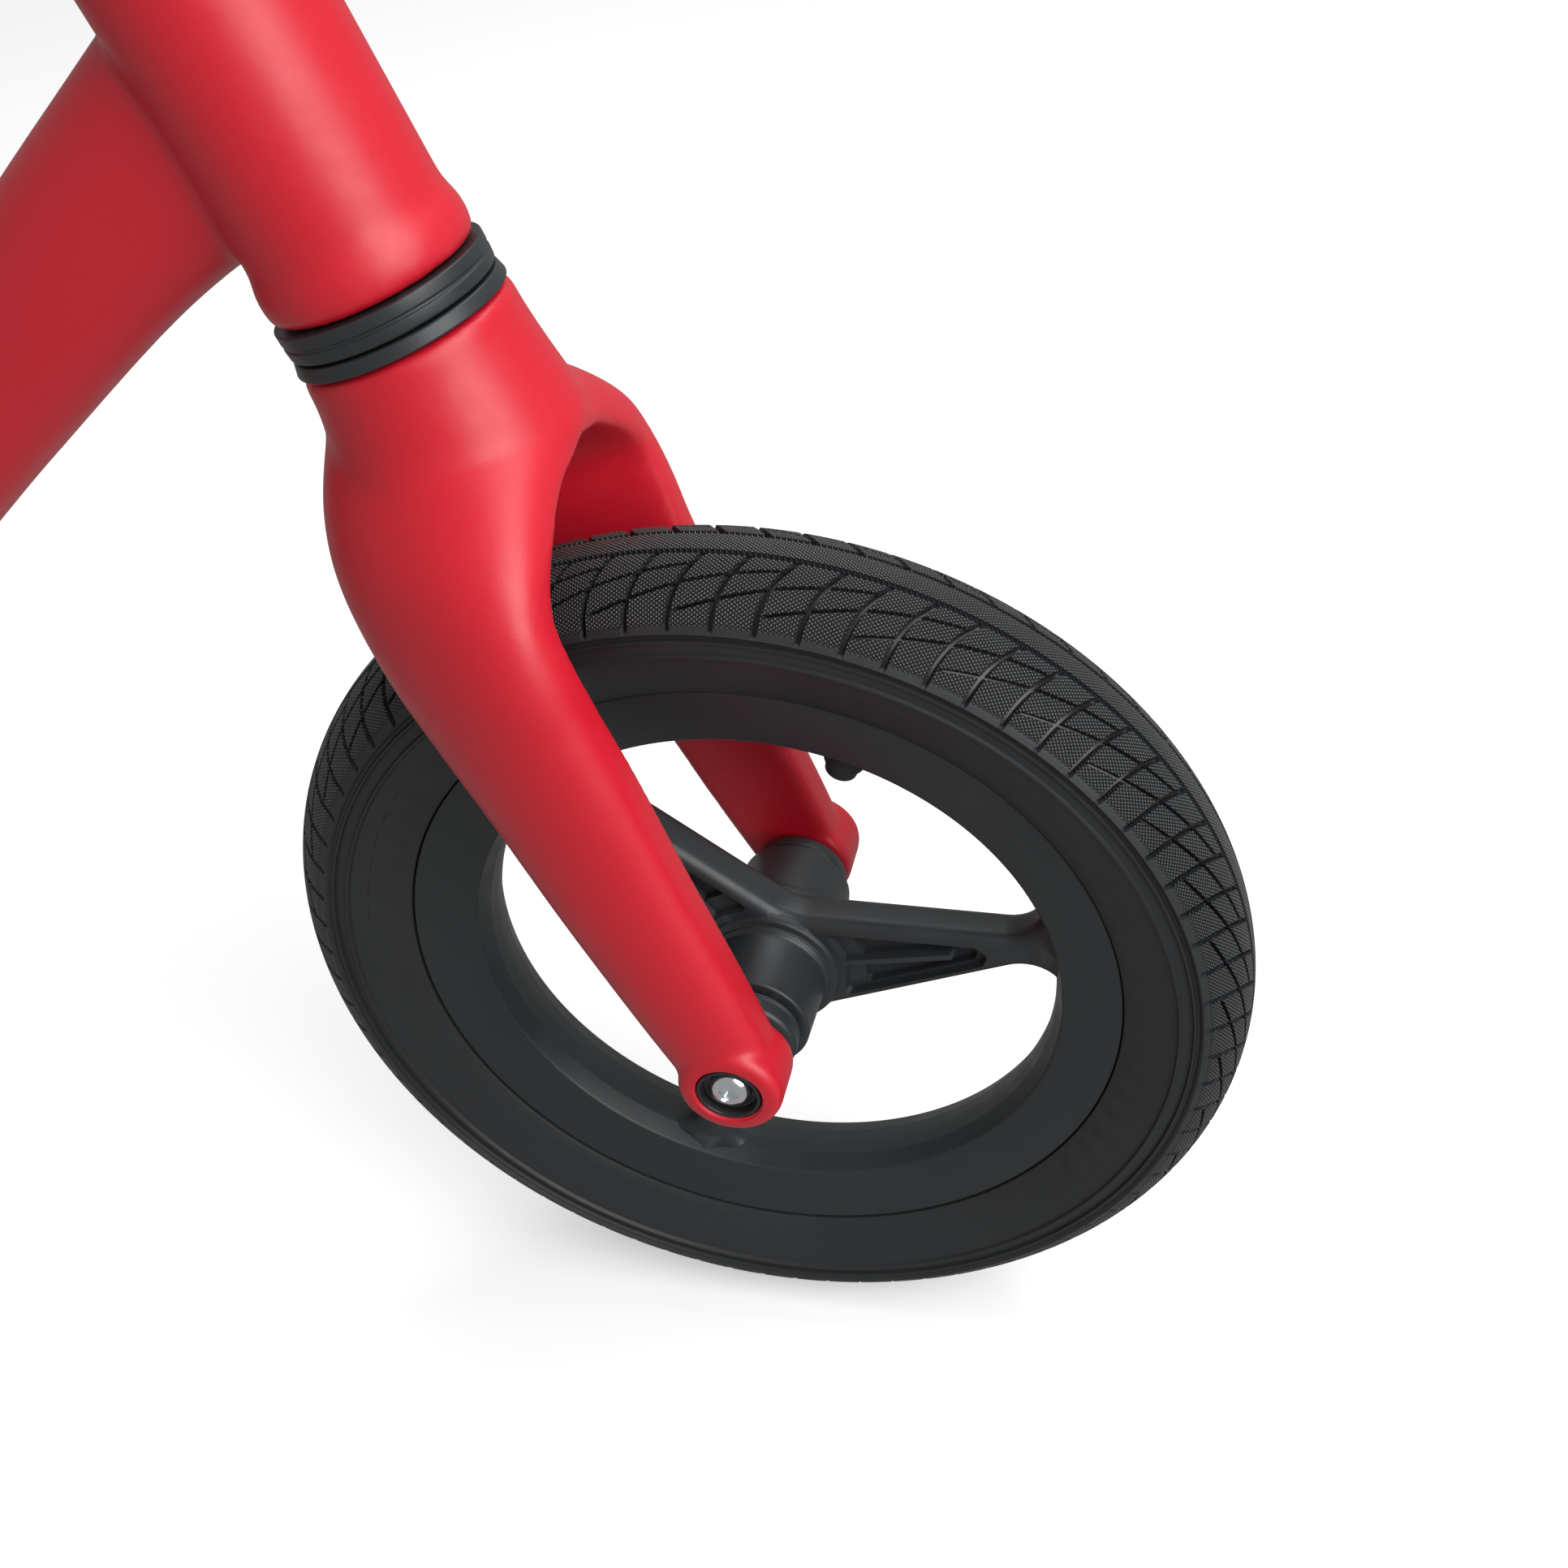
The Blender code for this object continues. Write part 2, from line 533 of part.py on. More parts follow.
def handlebar(steer):
    """Stem with its quill post, faceplate and screws, the bent bar and the grips."""
    clamp = shift(x=BAR_REACH, z=BAR_HEIGHT)
    stem = rod("stem", POST_RADIUS, 262, BAR_HEIGHT + 12, PAINT, parent=steer)
    head = block("stem_head", (-18, -20, -24), (-0.5, 20, 24), PAINT, steer, clamp, bevel=2)
    boolean(stem, head, "UNION")
    bridge = block("stem_bridge", (-BAR_REACH - 6, -13, -19), (-10, 13, 19), PAINT, steer, clamp, bevel=2)
    boolean(stem, bridge, "UNION")
    plate = block("stem_faceplate", (0.5, -20, -24), (FACEPLATE, 20, 24), PAINT, steer, clamp, bevel=2)
    across = clamp @ Matrix.Rotation(math.pi / 2, 4, "X")
    forward = clamp @ Matrix.Rotation(math.pi / 2, 4, "Y")
    for piece in (stem, plate):
        bore = rod(piece.name + "_bore", POST_RADIUS + GAP, -40, 40, PAINT, steps=ROUND_STEPS,
                   parent=steer, place=across)
        boolean(piece, bore, "DIFFERENCE")
    seat = FACEPLATE - COUNTERBORE
    for label, height in (("upper", 17.2), ("lower", -17.2)):
        place = shift(z=height) @ forward
        for piece in (stem, plate):
            hole = rod("%s_%s_hole" % (piece.name, label), SCREW_RADIUS + GAP, -14, 40, PAINT, steps=8,
                       parent=steer, place=place)
            boolean(piece, hole, "DIFFERENCE")
        recess = rod("stem_%s_recess" % label, SCREW_HEAD + 2 * GAP, seat, seat + 20, PAINT,
                     steps=SMALL_STEPS, parent=steer, place=place)
        boolean(plate, recess, "DIFFERENCE")
        pinch_bolt("stem_bolt_" + label, steer, place, seat + GAP, -13)
    sweep = Vector((-math.sin(BAR_SWEEP), math.cos(BAR_SWEEP), 0))
    bend = [Vector(p) for p in BAR_BEND]
    end = bend[-1] + sweep * ((BAR_HALF - 8 - bend[-1].y) / sweep.y)
    left = smooth_path(bend, 2) + [end]
    right = [Vector((p.x, -p.y, p.z)) for p in reversed(left)]
    base = Vector((BAR_REACH, 0, BAR_HEIGHT))
    tube("handlebar", [p + base for p in right + left], POST_RADIUS, PAINT, steer)
    for label, side in (("right", -1), ("left", 1)):
        grip("grip_" + label, steer, base, bend[-1], side)


def grip(name, steer, base, start, side):
    """Rubber grip with a safety knob over the bar's end."""
    sweep = Vector((-math.sin(BAR_SWEEP), side * math.cos(BAR_SWEEP), 0))
    foot = Vector((start.x, side * start.y, start.z)) + base
    turn = sweep.to_track_quat("Z", "X").to_matrix().to_4x4()
    place = Matrix.Translation(foot * MM) @ turn
    length = (BAR_HALF - start.y) / math.cos(BAR_SWEEP)
    bore, inside = POST_RADIUS + GAP + 0.1, length - 6.5
    shape = [(0, length), (15, length), (21, length - 2.5), (22, length - 7), (20, length - 12),
             (15.5, length - 15), (15.0, 14), (19.5, 11), (19.5, 5), (bore, 4), (bore, inside), (0, inside)]
    return turned(name, shape, SOFT, SMALL_STEPS, steer, place, closed=False)


# ---- frame -----------------------------------------------------------------------------------
BEAM_STATIONS = (              # x, z, half height, half width
    (176, 431, 31, 18),
    (128, 393, 26, 19.5),
    (72, 343, 24, 20.5),
    (10, 289, 24.5, 22),
    (-45, 253, 26, 24),
    (-92, 236, 28, 26),
)
REAR_STATIONS = (              # along, side, middle, half depth, half thickness, tilt
    (-2, 53.3, 0.0, 15.4, 9.6, 0),
    (30, 53.0, 0.5, 18.0, 10.4, 0),
    (80, 52.0, 1.5, 20.8, 11.5, 0),
    (130, 50.0, 2.0, 23.0, 13.0, 0),
    (165, 43.5, 1.0, 24.5, 14.5, 0),
    (187, 30.0, 0.0, 26.0, 16.5, 0),
    (197, 14.0, 0.0, 27.0, 18.0, 0),
    (199, 0.0, 0.0, 27.5, 18.5, 0),
)
REAR_RISE = math.atan2(SEAT_FOOT[1] - TYRE_RADIUS + 4, SEAT_FOOT[0] + WHEELBASE / 2)


def beam_rings():
    """Rings of the main beam, square to its path."""
    path = [Vector((x, 0, z)) for x, z, _, _ in BEAM_STATIONS]
    rings = []
    for i, (point, row) in enumerate(zip(path, BEAM_STATIONS)):
        ahead = path[min(i + 1, len(path) - 1)] - path[max(i - 1, 0)]
        up = Vector((ahead.z, 0, -ahead.x)).normalized()
        rings.append(oval(point, up * row[2], Vector((0, row[3], 0))))
    return rings


def frame(steer, seat, rear):
    """Cast frame: head tube, main beam, seat tube and the two rear legs."""
    body = loft("frame", beam_rings(), RED)
    legs = loft("frame_rear_legs", arch(REAR_STATIONS), RED, rear)
    boolean(body, legs, "UNION")
    low, high = HEAD_TUBE
    r = HEAD_RADIUS
    head = [(0, high), (r, high), (r + 1.6, high - 2), (r + 1.6, high - 9), (r, high - 13),
            (r, low + 13), (r + 1.6, low + 9), (r + 1.6, low + 2), (r, low), (0, low)]
    boolean(body, turned("frame_head_tube", head, RED, ROUND_STEPS, steer, closed=False), "UNION")
    foot, top = SEAT_TUBE
    r = SEAT_TUBE_RADIUS
    post = [(0, top), (r, top), (r, top - 16), (r + 3, top - 24), (r + 2, foot + 6), (r - 3, foot), (0, foot)]
    boolean(body, turned("frame_seat_tube", post, RED, ROUND_STEPS, seat, closed=False), "UNION")
    level = Matrix.Rotation(math.pi / 2 - REAR_RISE, 4, "Y").inverted()
    bosses(body, rear, level)
    bore = [(0, high + 8), (18, high + 8), (18, high - 16), (16, high - 18), (16, low + 18),
            (18, low + 16), (18, low - 8), (0, low - 8)]
    boolean(body, turned("frame_head_bore", bore, RED, ROUND_STEPS, steer, closed=False), "DIFFERENCE")
    hole = rod("frame_seat_bore", SEATPOST_RADIUS + GAP, foot + 3, top + 9, RED, parent=seat)
    boolean(body, hole, "DIFFERENCE")
    return body


# ---- seat ------------------------------------------------------------------------------------
RAIL_PATH = ((-80, 23, 16.5), (-67, 23, 11), (-54, RAIL_HALF, 3), (-42, RAIL_HALF, 0), (-30, RAIL_HALF, 0),
             (38, RAIL_HALF, 0), (48, RAIL_HALF, 0), (62, 20, 3), (78, 14, 11), (91, 7, 16), (96, 0, 17))
SADDLE_STATIONS = (            # along, half width, edge height, top height
    (-118, 30, 33, 46),
    (-112, 52, 30, 57),
    (-88, 67, 28, 64),
    (-50, 66, 26, 61),
    (-8, 47, 25, 57),
    (38, 29, 25, 55),
    (82, 22, 26, 54),
    (112, 19, 28, 51),
    (122, 11, 31, 44),
)
BASE_DROP = 5.5


def cushion_rings():
    """Crowned sections of the saddle's padding."""
    rings = []
    for x, half, edge, top in SADDLE_STATIONS:
        outline = ((-0.86, edge), (-1.0, edge + 7), (-0.84, top - 7), (-0.42, top - 1), (0, top),
                   (0.42, top - 1), (0.84, top - 7), (1.0, edge + 7), (0.86, edge))
        rings.append([Vector((x, half * w, h)) for w, h in outline])
    return rings


def base_rings():
    """Sections of the moulded pan under the padding."""
    rings = []
    for x, half, edge, _ in SADDLE_STATIONS:
        top, low = edge - GAP, edge - BASE_DROP
        outline = ((-0.84, top), (0.84, top), (0.86, top - 2), (0.74, low), (-0.74, low), (-0.86, top - 2))
        rings.append([Vector((x, half * w, h)) for w, h in outline])
    return rings


def saddle(seat):
    """Seatpost with its cradle, the rails and their clamp, the pan and the padding."""
    level = shift(z=SEATPOST_TOP) @ Matrix.Rotation(HEAD_TILT, 4, "Y")
    post = rod("seatpost", SEATPOST_RADIUS, -40, SEATPOST_TOP - 9, PAINT, parent=seat)
    under = -RAIL_RADIUS - GAP
    cradle = block("seatpost_cradle", (-27, -29, under - 11), (34, 29, under), PAINT, seat, level, bevel=3)
    boolean(post, cradle, "UNION")
    plate = block("saddle_clamp_plate", (-27, -29, RAIL_RADIUS + GAP), (34, 29, RAIL_RADIUS + GAP + 7),
                  PAINT, seat, level, bevel=2)
    for label, x in (("front", 28), ("rear", -20)):
        at = level @ shift(x=x) @ Matrix.Rotation(math.pi, 4, "X")
        for piece in (post, plate):
            hole = rod("%s_%s_hole" % (piece.name, label), SCREW_RADIUS + GAP, -30, 30, PAINT, steps=8,
                       parent=seat, place=at)
            boolean(piece, hole, "DIFFERENCE")
        pinch_bolt("saddle_clamp_bolt_" + label, seat, at, -under + 11 + GAP, -RAIL_RADIUS - 8)
    frame_of = empty("saddle_level", (0, 0, SEATPOST_TOP * MM), (0, HEAD_TILT, 0), seat)
    rails = list(RAIL_PATH) + [(x, -y, z) for x, y, z in reversed(RAIL_PATH[:-1])]
    tube("saddle_rails", rails, RAIL_RADIUS, STEEL, frame_of)
    loft("saddle_pan", base_rings(), BLACK, frame_of)
    loft("saddle_cushion", cushion_rings(), COVER, frame_of)


# ---- assembly --------------------------------------------------------------------------------
for old in list(bpy.data.objects):
    bpy.data.objects.remove(old, do_unlink=True)
PARTS = collection("balance_bike")
TOOLS = collection("cutters")


def main():
    steer = empty("steering_axis", FRONT_AXLE * MM, (0, -HEAD_TILT, 0))
    front = empty("front_axle_line", FRONT_AXLE * MM, (math.pi / 2, 0, 0))
    rear = empty("rear_axle_line", REAR_AXLE * MM, (math.pi / 2, 0, 0))
    legs = empty("rear_leg_line", REAR_AXLE * MM, (0, math.pi / 2 - REAR_RISE, 0))
    seat_at = Vector((SEAT_FOOT[0], 0, SEAT_FOOT[1])) * MM
    seat = empty("seat_line", seat_at, (0, -HEAD_TILT, 0))
    fork(steer)
    headset(steer)
    handlebar(steer)
    frame(steer, seat, legs)
    collar("seat_clamp", seat, SEAT_TUBE_RADIUS + GAP, 22.6, SEAT_TUBE[1] - 13, SEAT_TUBE[1] - 1)
    saddle(seat)
    wheel_set("front", front, FRONT_SPOKE_ANGLE)
    wheel_set("rear", rear, REAR_SPOKE_ANGLE)


main()
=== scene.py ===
"""Looks for the balance bike: finished castings, moulded wheels, treaded tyres and a padded saddle.

Shapes are worked out in millimetres, in the same axes as the CAD: +X forward, -Y the rider's right,
+Z up.  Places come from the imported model's boxes.
"""
import math

import bmesh
import bpy
import numpy as np
from mathutils import Matrix, Vector


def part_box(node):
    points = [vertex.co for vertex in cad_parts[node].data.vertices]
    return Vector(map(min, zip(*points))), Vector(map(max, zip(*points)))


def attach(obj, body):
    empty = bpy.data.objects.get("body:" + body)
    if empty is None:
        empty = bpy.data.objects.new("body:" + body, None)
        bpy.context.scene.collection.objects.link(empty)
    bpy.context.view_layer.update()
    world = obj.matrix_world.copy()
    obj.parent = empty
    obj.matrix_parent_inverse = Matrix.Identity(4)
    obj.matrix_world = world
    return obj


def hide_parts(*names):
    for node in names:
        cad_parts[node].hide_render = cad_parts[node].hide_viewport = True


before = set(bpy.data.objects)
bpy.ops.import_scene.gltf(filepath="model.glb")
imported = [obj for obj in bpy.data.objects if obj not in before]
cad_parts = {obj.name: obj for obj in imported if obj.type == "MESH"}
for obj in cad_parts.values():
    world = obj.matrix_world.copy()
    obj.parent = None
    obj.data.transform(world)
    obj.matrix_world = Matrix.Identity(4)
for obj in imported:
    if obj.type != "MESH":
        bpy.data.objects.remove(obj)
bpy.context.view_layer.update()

MM = 0.001
SCALE = Matrix.Scale(MM, 4)


def middle(node):
    """Centre of a CAD node's box, in metres."""
    low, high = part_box(node)
    return (low + high) / 2


# ---- driving dimensions, in millimetres
HEAD_TILT = math.radians(20)
WHEELBASE = 560.0
LEG_AIM = 4.0  # the rear legs' line passes this far above the foot of the seat tube
TYRE_RADIUS = 156.0
SECTION = 28.25  # radius of the tyre's cross-section
SECTION_CENTRE = 126.9
TREAD_EDGE = math.radians(61)  # half the tread, round the cross-section
PITCHES = 74  # cross grooves round the tyre
PITCH = 2 * math.pi / PITCHES
RIM_OUTER = 115.0
RIM_INNER = 92.4
RIM_LIP = 94.9  # the rim's inner radius beside the spokes' faces
SPOKES = 3
SPOKE_HALF_THICK = 8.0
SPOKE_ANGLE = {"front": math.radians(10.7), "rear": math.radians(50)}
HUB_HALF = 33.0
AXLE_HALF = 63.7
BOSS_RADIUS = 16.3
BOSS_INNER = 42.9
CUP_FLOOR = 59.7
BOLT_HOLE = 4.2  # radius of the hole for an axle bolt in its cup and boss
CROWN_TOP = 228.5
CROWN_FROM = 184.0  # height from which the fork's crown is smoothed
STEERER_BORE = 13.0
HEAD_TUBE = (241.5, 345.0)
HEAD_RADIUS = 27.0
HEADSET_RADIUS = 29.4
BAR_RADIUS = 11.1
BAR_HEIGHT = 436.0
BAR_REACH = 27.0
BAR_HALF = 200.0
SEAT_FOOT = (-98.0, 236.0)
SEATPOST_TOP = 84.0
SEAT_TUBE_TOP = 45.0
RAIL_RADIUS = 3.5
RAIL_HALF = 22.0

ACROSS = Matrix.Rotation(math.pi / 2, 4, "X")  # local Z becomes -Y
FLIP = Matrix.Rotation(math.pi, 4, "X")
ALONG = Matrix.Rotation(math.pi / 2, 4, "Y")  # local Z becomes +X
LEAN = Matrix.Rotation(-HEAD_TILT, 4, "Y")
FRONT = Matrix.Translation(middle("front_axle"))
REAR = Matrix.Translation(middle("rear_axle"))
AXLE = {"front": FRONT @ ACROSS, "rear": REAR @ ACROSS}
STEER = FRONT @ LEAN
SEAT = Matrix.Translation(Vector((SEAT_FOOT[0], 0, SEAT_FOOT[1])) * MM) @ LEAN
REAR_RISE = math.atan2(SEAT_FOOT[1] - TYRE_RADIUS + LEG_AIM, SEAT_FOOT[0] + WHEELBASE / 2)
LEGS = REAR @ Matrix.Rotation(math.pi / 2 - REAR_RISE, 4, "Y")


def shift(x=0.0, y=0.0, z=0.0):
    """A move in millimetres."""
    return Matrix.Translation(Vector((x, y, z)) * MM)


SADDLE_LEVEL = SEAT @ shift(z=SEATPOST_TOP) @ LEAN.inverted()


# ---- materials
class Finish:
    """A procedural material: a Principled shader and the node helpers that drive it."""

    def __init__(self, name, **sockets):
        self.material = bpy.data.materials.new(name)
        self.material.use_nodes = True
        self.tree = self.material.node_tree
        self.shader = self.tree.nodes["Principled BSDF"]
        for socket, value in sockets.items():
            self.shader.inputs[socket.replace("_", " ")].default_value = value
        self.bump = None
        self.place = self.node("ShaderNodeTexCoord").outputs["Object"]

    def node(self, kind, **settings):
        made = self.tree.nodes.new(kind)
        for name, value in settings.items():
            setattr(made, name, value)
        return made

    def feed(self, socket, value):
        """Set a socket to a number or a colour, or link another socket to it."""
        if isinstance(value, bpy.types.NodeSocket):
            self.tree.links.new(value, socket)
        else:
            socket.default_value = value

    def noise(self, scale, detail=2.0, roughness=0.5, stretch=None):
        """Noise whose scale is in features per metre; stretch squeezes it along the axes."""
        made = self.node("ShaderNodeTexNoise")
        made.inputs["Scale"].default_value = scale
        made.inputs["Detail"].default_value = detail
        made.inputs["Roughness"].default_value = roughness
        place = self.place
        if stretch:
            mapping = self.node("ShaderNodeMapping")
            mapping.inputs["Scale"].default_value = stretch
            self.feed(mapping.inputs["Vector"], place)
            place = mapping.outputs["Vector"]
        self.feed(made.inputs["Vector"], place)
        return made.outputs["Fac"]

    def cells(self, scale, feature="F1"):
        made = self.node("ShaderNodeTexVoronoi", feature=feature)
        made.inputs["Scale"].default_value = scale
        self.feed(made.inputs["Vector"], self.place)
        return made.outputs["Distance"]

    def math(self, operation, *values):
        made = self.node("ShaderNodeMath", operation=operation)
        for socket, value in zip(made.inputs, values):
            self.feed(socket, value)
        return made.outputs[0]

    def remap(self, value, low, high, to_low, to_high):
        made = self.node("ShaderNodeMapRange")
        for socket, item in zip(made.inputs, (value, low, high, to_low, to_high)):
            self.feed(socket, item)
        return made.outputs[0]

    def mix(self, factor, first, second):
        made = self.node("ShaderNodeMix", data_type="RGBA")
        self.feed(made.inputs["Factor"], factor)
        for name, value in (("A", first), ("B", second)):
            socket = [s for s in made.inputs if s.name == name and s.type == "RGBA"][0]
            self.feed(socket, value if isinstance(value, bpy.types.NodeSocket) else (*value, 1))
        return [s for s in made.outputs if s.type == "RGBA"][0]

    def attribute(self, name):
        return self.node("ShaderNodeAttribute", attribute_name=name).outputs["Fac"]

    def cloudy(self, scale, detail, first, second):
        """A colour that drifts between two."""
        return self.mix(self.noise(scale, detail), first, second)

    def worn(self, tint, share, edge):
        """A tint that turns towards another colour along convex edges."""
        return self.mix(self.math("MULTIPLY", self.edges(), share), tint, edge)

    def colour(self, value):
        self.feed(self.shader.inputs["Base Color"], value)

    def drift(self, scale, detail, low, high):
        """Noise that wanders between two values."""
        return self.remap(self.noise(scale, detail), 0.3, 0.7, low, high)

    def rough(self, value):
        self.feed(self.shader.inputs["Roughness"], value)

    def relief(self, height, distance, strength=1.0):
        """Add a bump, whose distance is in metres, on top of the earlier ones."""
        made = self.node("ShaderNodeBump")
        self.feed(made.inputs["Height"], height)
        self.feed(made.inputs["Strength"], strength)
        made.inputs["Distance"].default_value = distance
        if self.bump:
            self.feed(made.inputs["Normal"], self.bump)
        self.bump = made.outputs["Normal"]
        self.feed(self.shader.inputs["Normal"], self.bump)

    def edges(self, low=0.52, high=0.6):
        """1 along convex edges and 0 elsewhere."""
        pointed = self.node("ShaderNodeNewGeometry").outputs["Pointiness"]
        return self.remap(pointed, low, high, 0.0, 1.0)


def red_casting():
    """Satin red powder coat: fine orange peel, a few pale specks, lighter worn edges."""
    made = Finish("cast_red", Coat_Weight=0.2, Coat_Roughness=0.45, Specular_IOR_Level=0.55)
    speck = made.remap(made.cells(260), 0.0, 0.045, 0.25, 0.0)
    tint = made.worn(made.cloudy(9, 3, (0.6, 0.005, 0.018), (0.66, 0.008, 0.026)), 0.18, (0.86, 0.05, 0.07))
    made.colour(made.mix(speck, tint, (0.9, 0.25, 0.25)))
    made.rough(made.drift(140, 4, 0.38, 0.47))
    made.relief(made.noise(1500, 3), 0.00006, 0.35)
    made.relief(made.noise(180, 2), 0.0004, 0.12)
    return made.material


def black_plastic():
    """Moulded black plastic with a fine grain."""
    made = Finish("moulded_black", Specular_IOR_Level=0.5)
    tint = made.cloudy(22, 4, (0.018, 0.0215, 0.0235), (0.026, 0.030, 0.0325))
    made.colour(made.worn(tint, 0.35, (0.07, 0.074, 0.08)))
    made.rough(made.drift(90, 5, 0.34, 0.46))
    made.relief(made.noise(2600, 3), 0.00005, 0.55)
    made.relief(made.noise(120, 2), 0.0003, 0.08)
    return made.material


KNURL_AROUND = 600  # diamonds round the tread
KNURL_ACROSS = 1.2  # their spacing across it, in millimetres


def tyre_rubber():
    """Rubber with diamond knurling on the tops of the blocks; its colour carries painted highlights on the
    knurl's peaks and the grooves' walls, and painted shade in the grooves and between the peaks.

    The UV map holds the turn round the wheel and the arc across the tread; "block" is 1 on the tops.
    """
    made = Finish("tyre_rubber", Specular_IOR_Level=0.45)
    uv = made.node("ShaderNodeUVMap", uv_map="tread").outputs["UV"]
    parts = made.node("ShaderNodeSeparateXYZ")
    made.feed(parts.inputs[0], uv)
    turn, arc = parts.outputs["X"], parts.outputs["Y"]
    block = made.attribute("block")
    first = made.math("PINGPONG", made.math("ADD", turn, arc), 0.5)
    second = made.math("PINGPONG", made.math("SUBTRACT", turn, arc), 0.5)
    diamond = made.math("MULTIPLY", made.math("MINIMUM", first, second), block)
    tint = made.cloudy(30, 4, (0.019, 0.0205, 0.022), (0.027, 0.029, 0.031))
    # painted highlight: the knurl's peaks are lightened
    painted_peak_highlight = made.remap(diamond, 0.2, 0.44, 0.0, 1.0)
    groove = made.attribute("groove")
    # painted highlight on the grooves' walls, strongest half way down them
    wall = made.math("MULTIPLY", made.math("PINGPONG", groove, 0.5), 2.0)
    # painted shade: the colour darkens towards the grooves' floors
    tint = made.mix(groove, tint, (0.004, 0.0044, 0.005))
    # lightens the grooves' walls: painted highlight
    tint = made.mix(made.math("MULTIPLY", wall, 0.8), tint, (0.05, 0.055, 0.064))
    # painted shade: the tops of the blocks are darkened, so the ground between the knurl's peaks reads dark
    tint = made.mix(made.math("MULTIPLY", block, 0.6), tint, (0.008, 0.0086, 0.0092))
    made.colour(made.mix(painted_peak_highlight, tint, (0.26, 0.275, 0.29)))
    made.rough(made.math("SUBTRACT", made.drift(160, 4, 0.4, 0.5), made.math("MULTIPLY", groove, 0.16)))
    made.relief(made.noise(1800, 3), 0.00005, 0.5)
    made.relief(diamond, 0.0016, 1.0)
    return made.material


def soft_rubber():
    """Dull rubber of the grips and valves."""
    made = Finish("grip_rubber", Specular_IOR_Level=0.35)
    tint = made.cloudy(40, 4, (0.016, 0.017, 0.018), (0.03, 0.031, 0.033))
    made.colour(made.worn(tint, 0.4, (0.06, 0.06, 0.062)))
    made.rough(made.drift(120, 4, 0.6, 0.75))
    made.relief(made.noise(2200, 3), 0.00006, 0.6)
    return made.material


def black_paint():
    """Glossier black paint on metal, scuffed along its edges."""
    made = Finish("black_paint", Coat_Weight=0.25, Coat_Roughness=0.2, Metallic=0.1)
    tint = made.cloudy(30, 3, (0.011, 0.011, 0.012), (0.018, 0.018, 0.019))
    scuff = made.math("MULTIPLY", made.edges(0.54, 0.64), made.remap(made.noise(300, 4), 0.45, 0.6, 0.0, 0.5))
    made.colour(made.mix(scuff, tint, (0.12, 0.12, 0.12)))
    made.rough(made.drift(200, 5, 0.26, 0.38))
    made.relief(made.noise(1400, 2), 0.00004, 0.3)
    return made.material


def bright_metal(name, light, dark, low, high, lines):
    """Bare or plated metal: two tints, the range of its roughness, and the stretch of its fine lines."""
    made = Finish(name, Metallic=1.0)
    made.colour(made.cloudy(400, 4, light, dark))
    made.rough(made.drift(600, 4, low, high))
    made.relief(made.noise(900, 3, stretch=lines), 0.00003, 0.4)
    return made.material


def saddle_vinyl():
    """Vinyl with a pebbled leather grain and fine creases."""
    made = Finish("saddle_vinyl", Specular_IOR_Level=0.45, Sheen_Weight=0.08)
    tint = made.cloudy(35, 4, (0.018, 0.018, 0.019), (0.032, 0.032, 0.034))
    pebble = made.cells(620)
    made.colour(made.mix(made.remap(pebble, 0.2, 0.7, 0.0, 0.6), tint, (0.008, 0.008, 0.009)))
    made.rough(made.drift(150, 4, 0.42, 0.58))
    made.relief(pebble, 0.00035, -0.6)
    made.relief(made.noise(60, 5), 0.0006, 0.25)
    return made.material


RED = red_casting()
BLACK = black_plastic()
RUBBER = tyre_rubber()
SOFT = soft_rubber()
PAINT = black_paint()
ZINC = bright_metal("zinc_plate", (0.95, 0.97, 0.98), (0.8, 0.84, 0.88), 0.12, 0.2, (1, 1, 1))
STEEL = bright_metal("ground_steel", (0.6, 0.6, 0.62), (0.42, 0.42, 0.44), 0.22, 0.34, (1, 12, 1))
VINYL = saddle_vinyl()


# ---- mesh helpers
def circle(steps):
    """Cosines and sines of even angles round a full turn."""
    return [(math.cos(a), math.sin(a)) for a in np.linspace(0, 2 * math.pi, steps, endpoint=False)]


def oval(c, s, power):
    """Reach of a rounded square with half sides of 1 in a direction; 2 is a circle."""
    return (abs(c) ** power + abs(s) ** power) ** (-1 / power)


def mirror(profile):
    """A profile's corners (radius, height, fillet) reflected to the other end, in reverse order."""
    return [(radius, -height, fillet) for radius, height, fillet in reversed(profile)]


def other_side(path):
    """Points reflected from one side of the bike to the other, in reverse order."""
    return [Vector((p[0], -p[1], p[2])) for p in reversed(path)]


def headings(path, loop=False):
    """Direction from the point before to the point after each point of a path."""
    last = len(path) - 1
    if loop:
        return [path[(i + 1) % len(path)] - path[i - 1] for i in range(len(path))]
    return [path[min(i + 1, last)] - path[max(i - 1, 0)] for i in range(len(path))]


def turned(angle):
    """A turn about local Z."""
    return Matrix.Rotation(angle, 4, "Z")


def smooth(mesh, angle=35):
    """Smooth shading with edges sharper than an angle in degrees left crisp."""
    mesh.shade_smooth()
    mesh.set_sharp_from_angle(angle=math.radians(angle))


def put(name, mesh, material, place=Matrix(), angle=35):
    """An object from a mesh in millimetres, carried to its place in metres."""
    mesh.transform(place @ SCALE)
    mesh.materials.clear()
    mesh.materials.append(material)
    smooth(mesh, angle)
    obj = bpy.data.objects.new(name, mesh)
    bpy.context.scene.collection.objects.link(obj)
    return obj


def finish(obj, body, *nodes):
    """Hang a piece on its body and let it stand for its CAD nodes."""
    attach(obj, body)
    if nodes:
        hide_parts(*nodes)
    return obj


def to_mesh(name, shape):
    """A clean mesh from a bmesh, with its normals outward."""
    bmesh.ops.remove_doubles(shape, verts=shape.verts, dist=1e-4)
    bmesh.ops.dissolve_degenerate(shape, edges=shape.edges, dist=1e-4)
    bmesh.ops.recalc_face_normals(shape, faces=shape.faces)
    mesh = bpy.data.meshes.new(name)
    shape.to_mesh(mesh)
    shape.free()
    return mesh


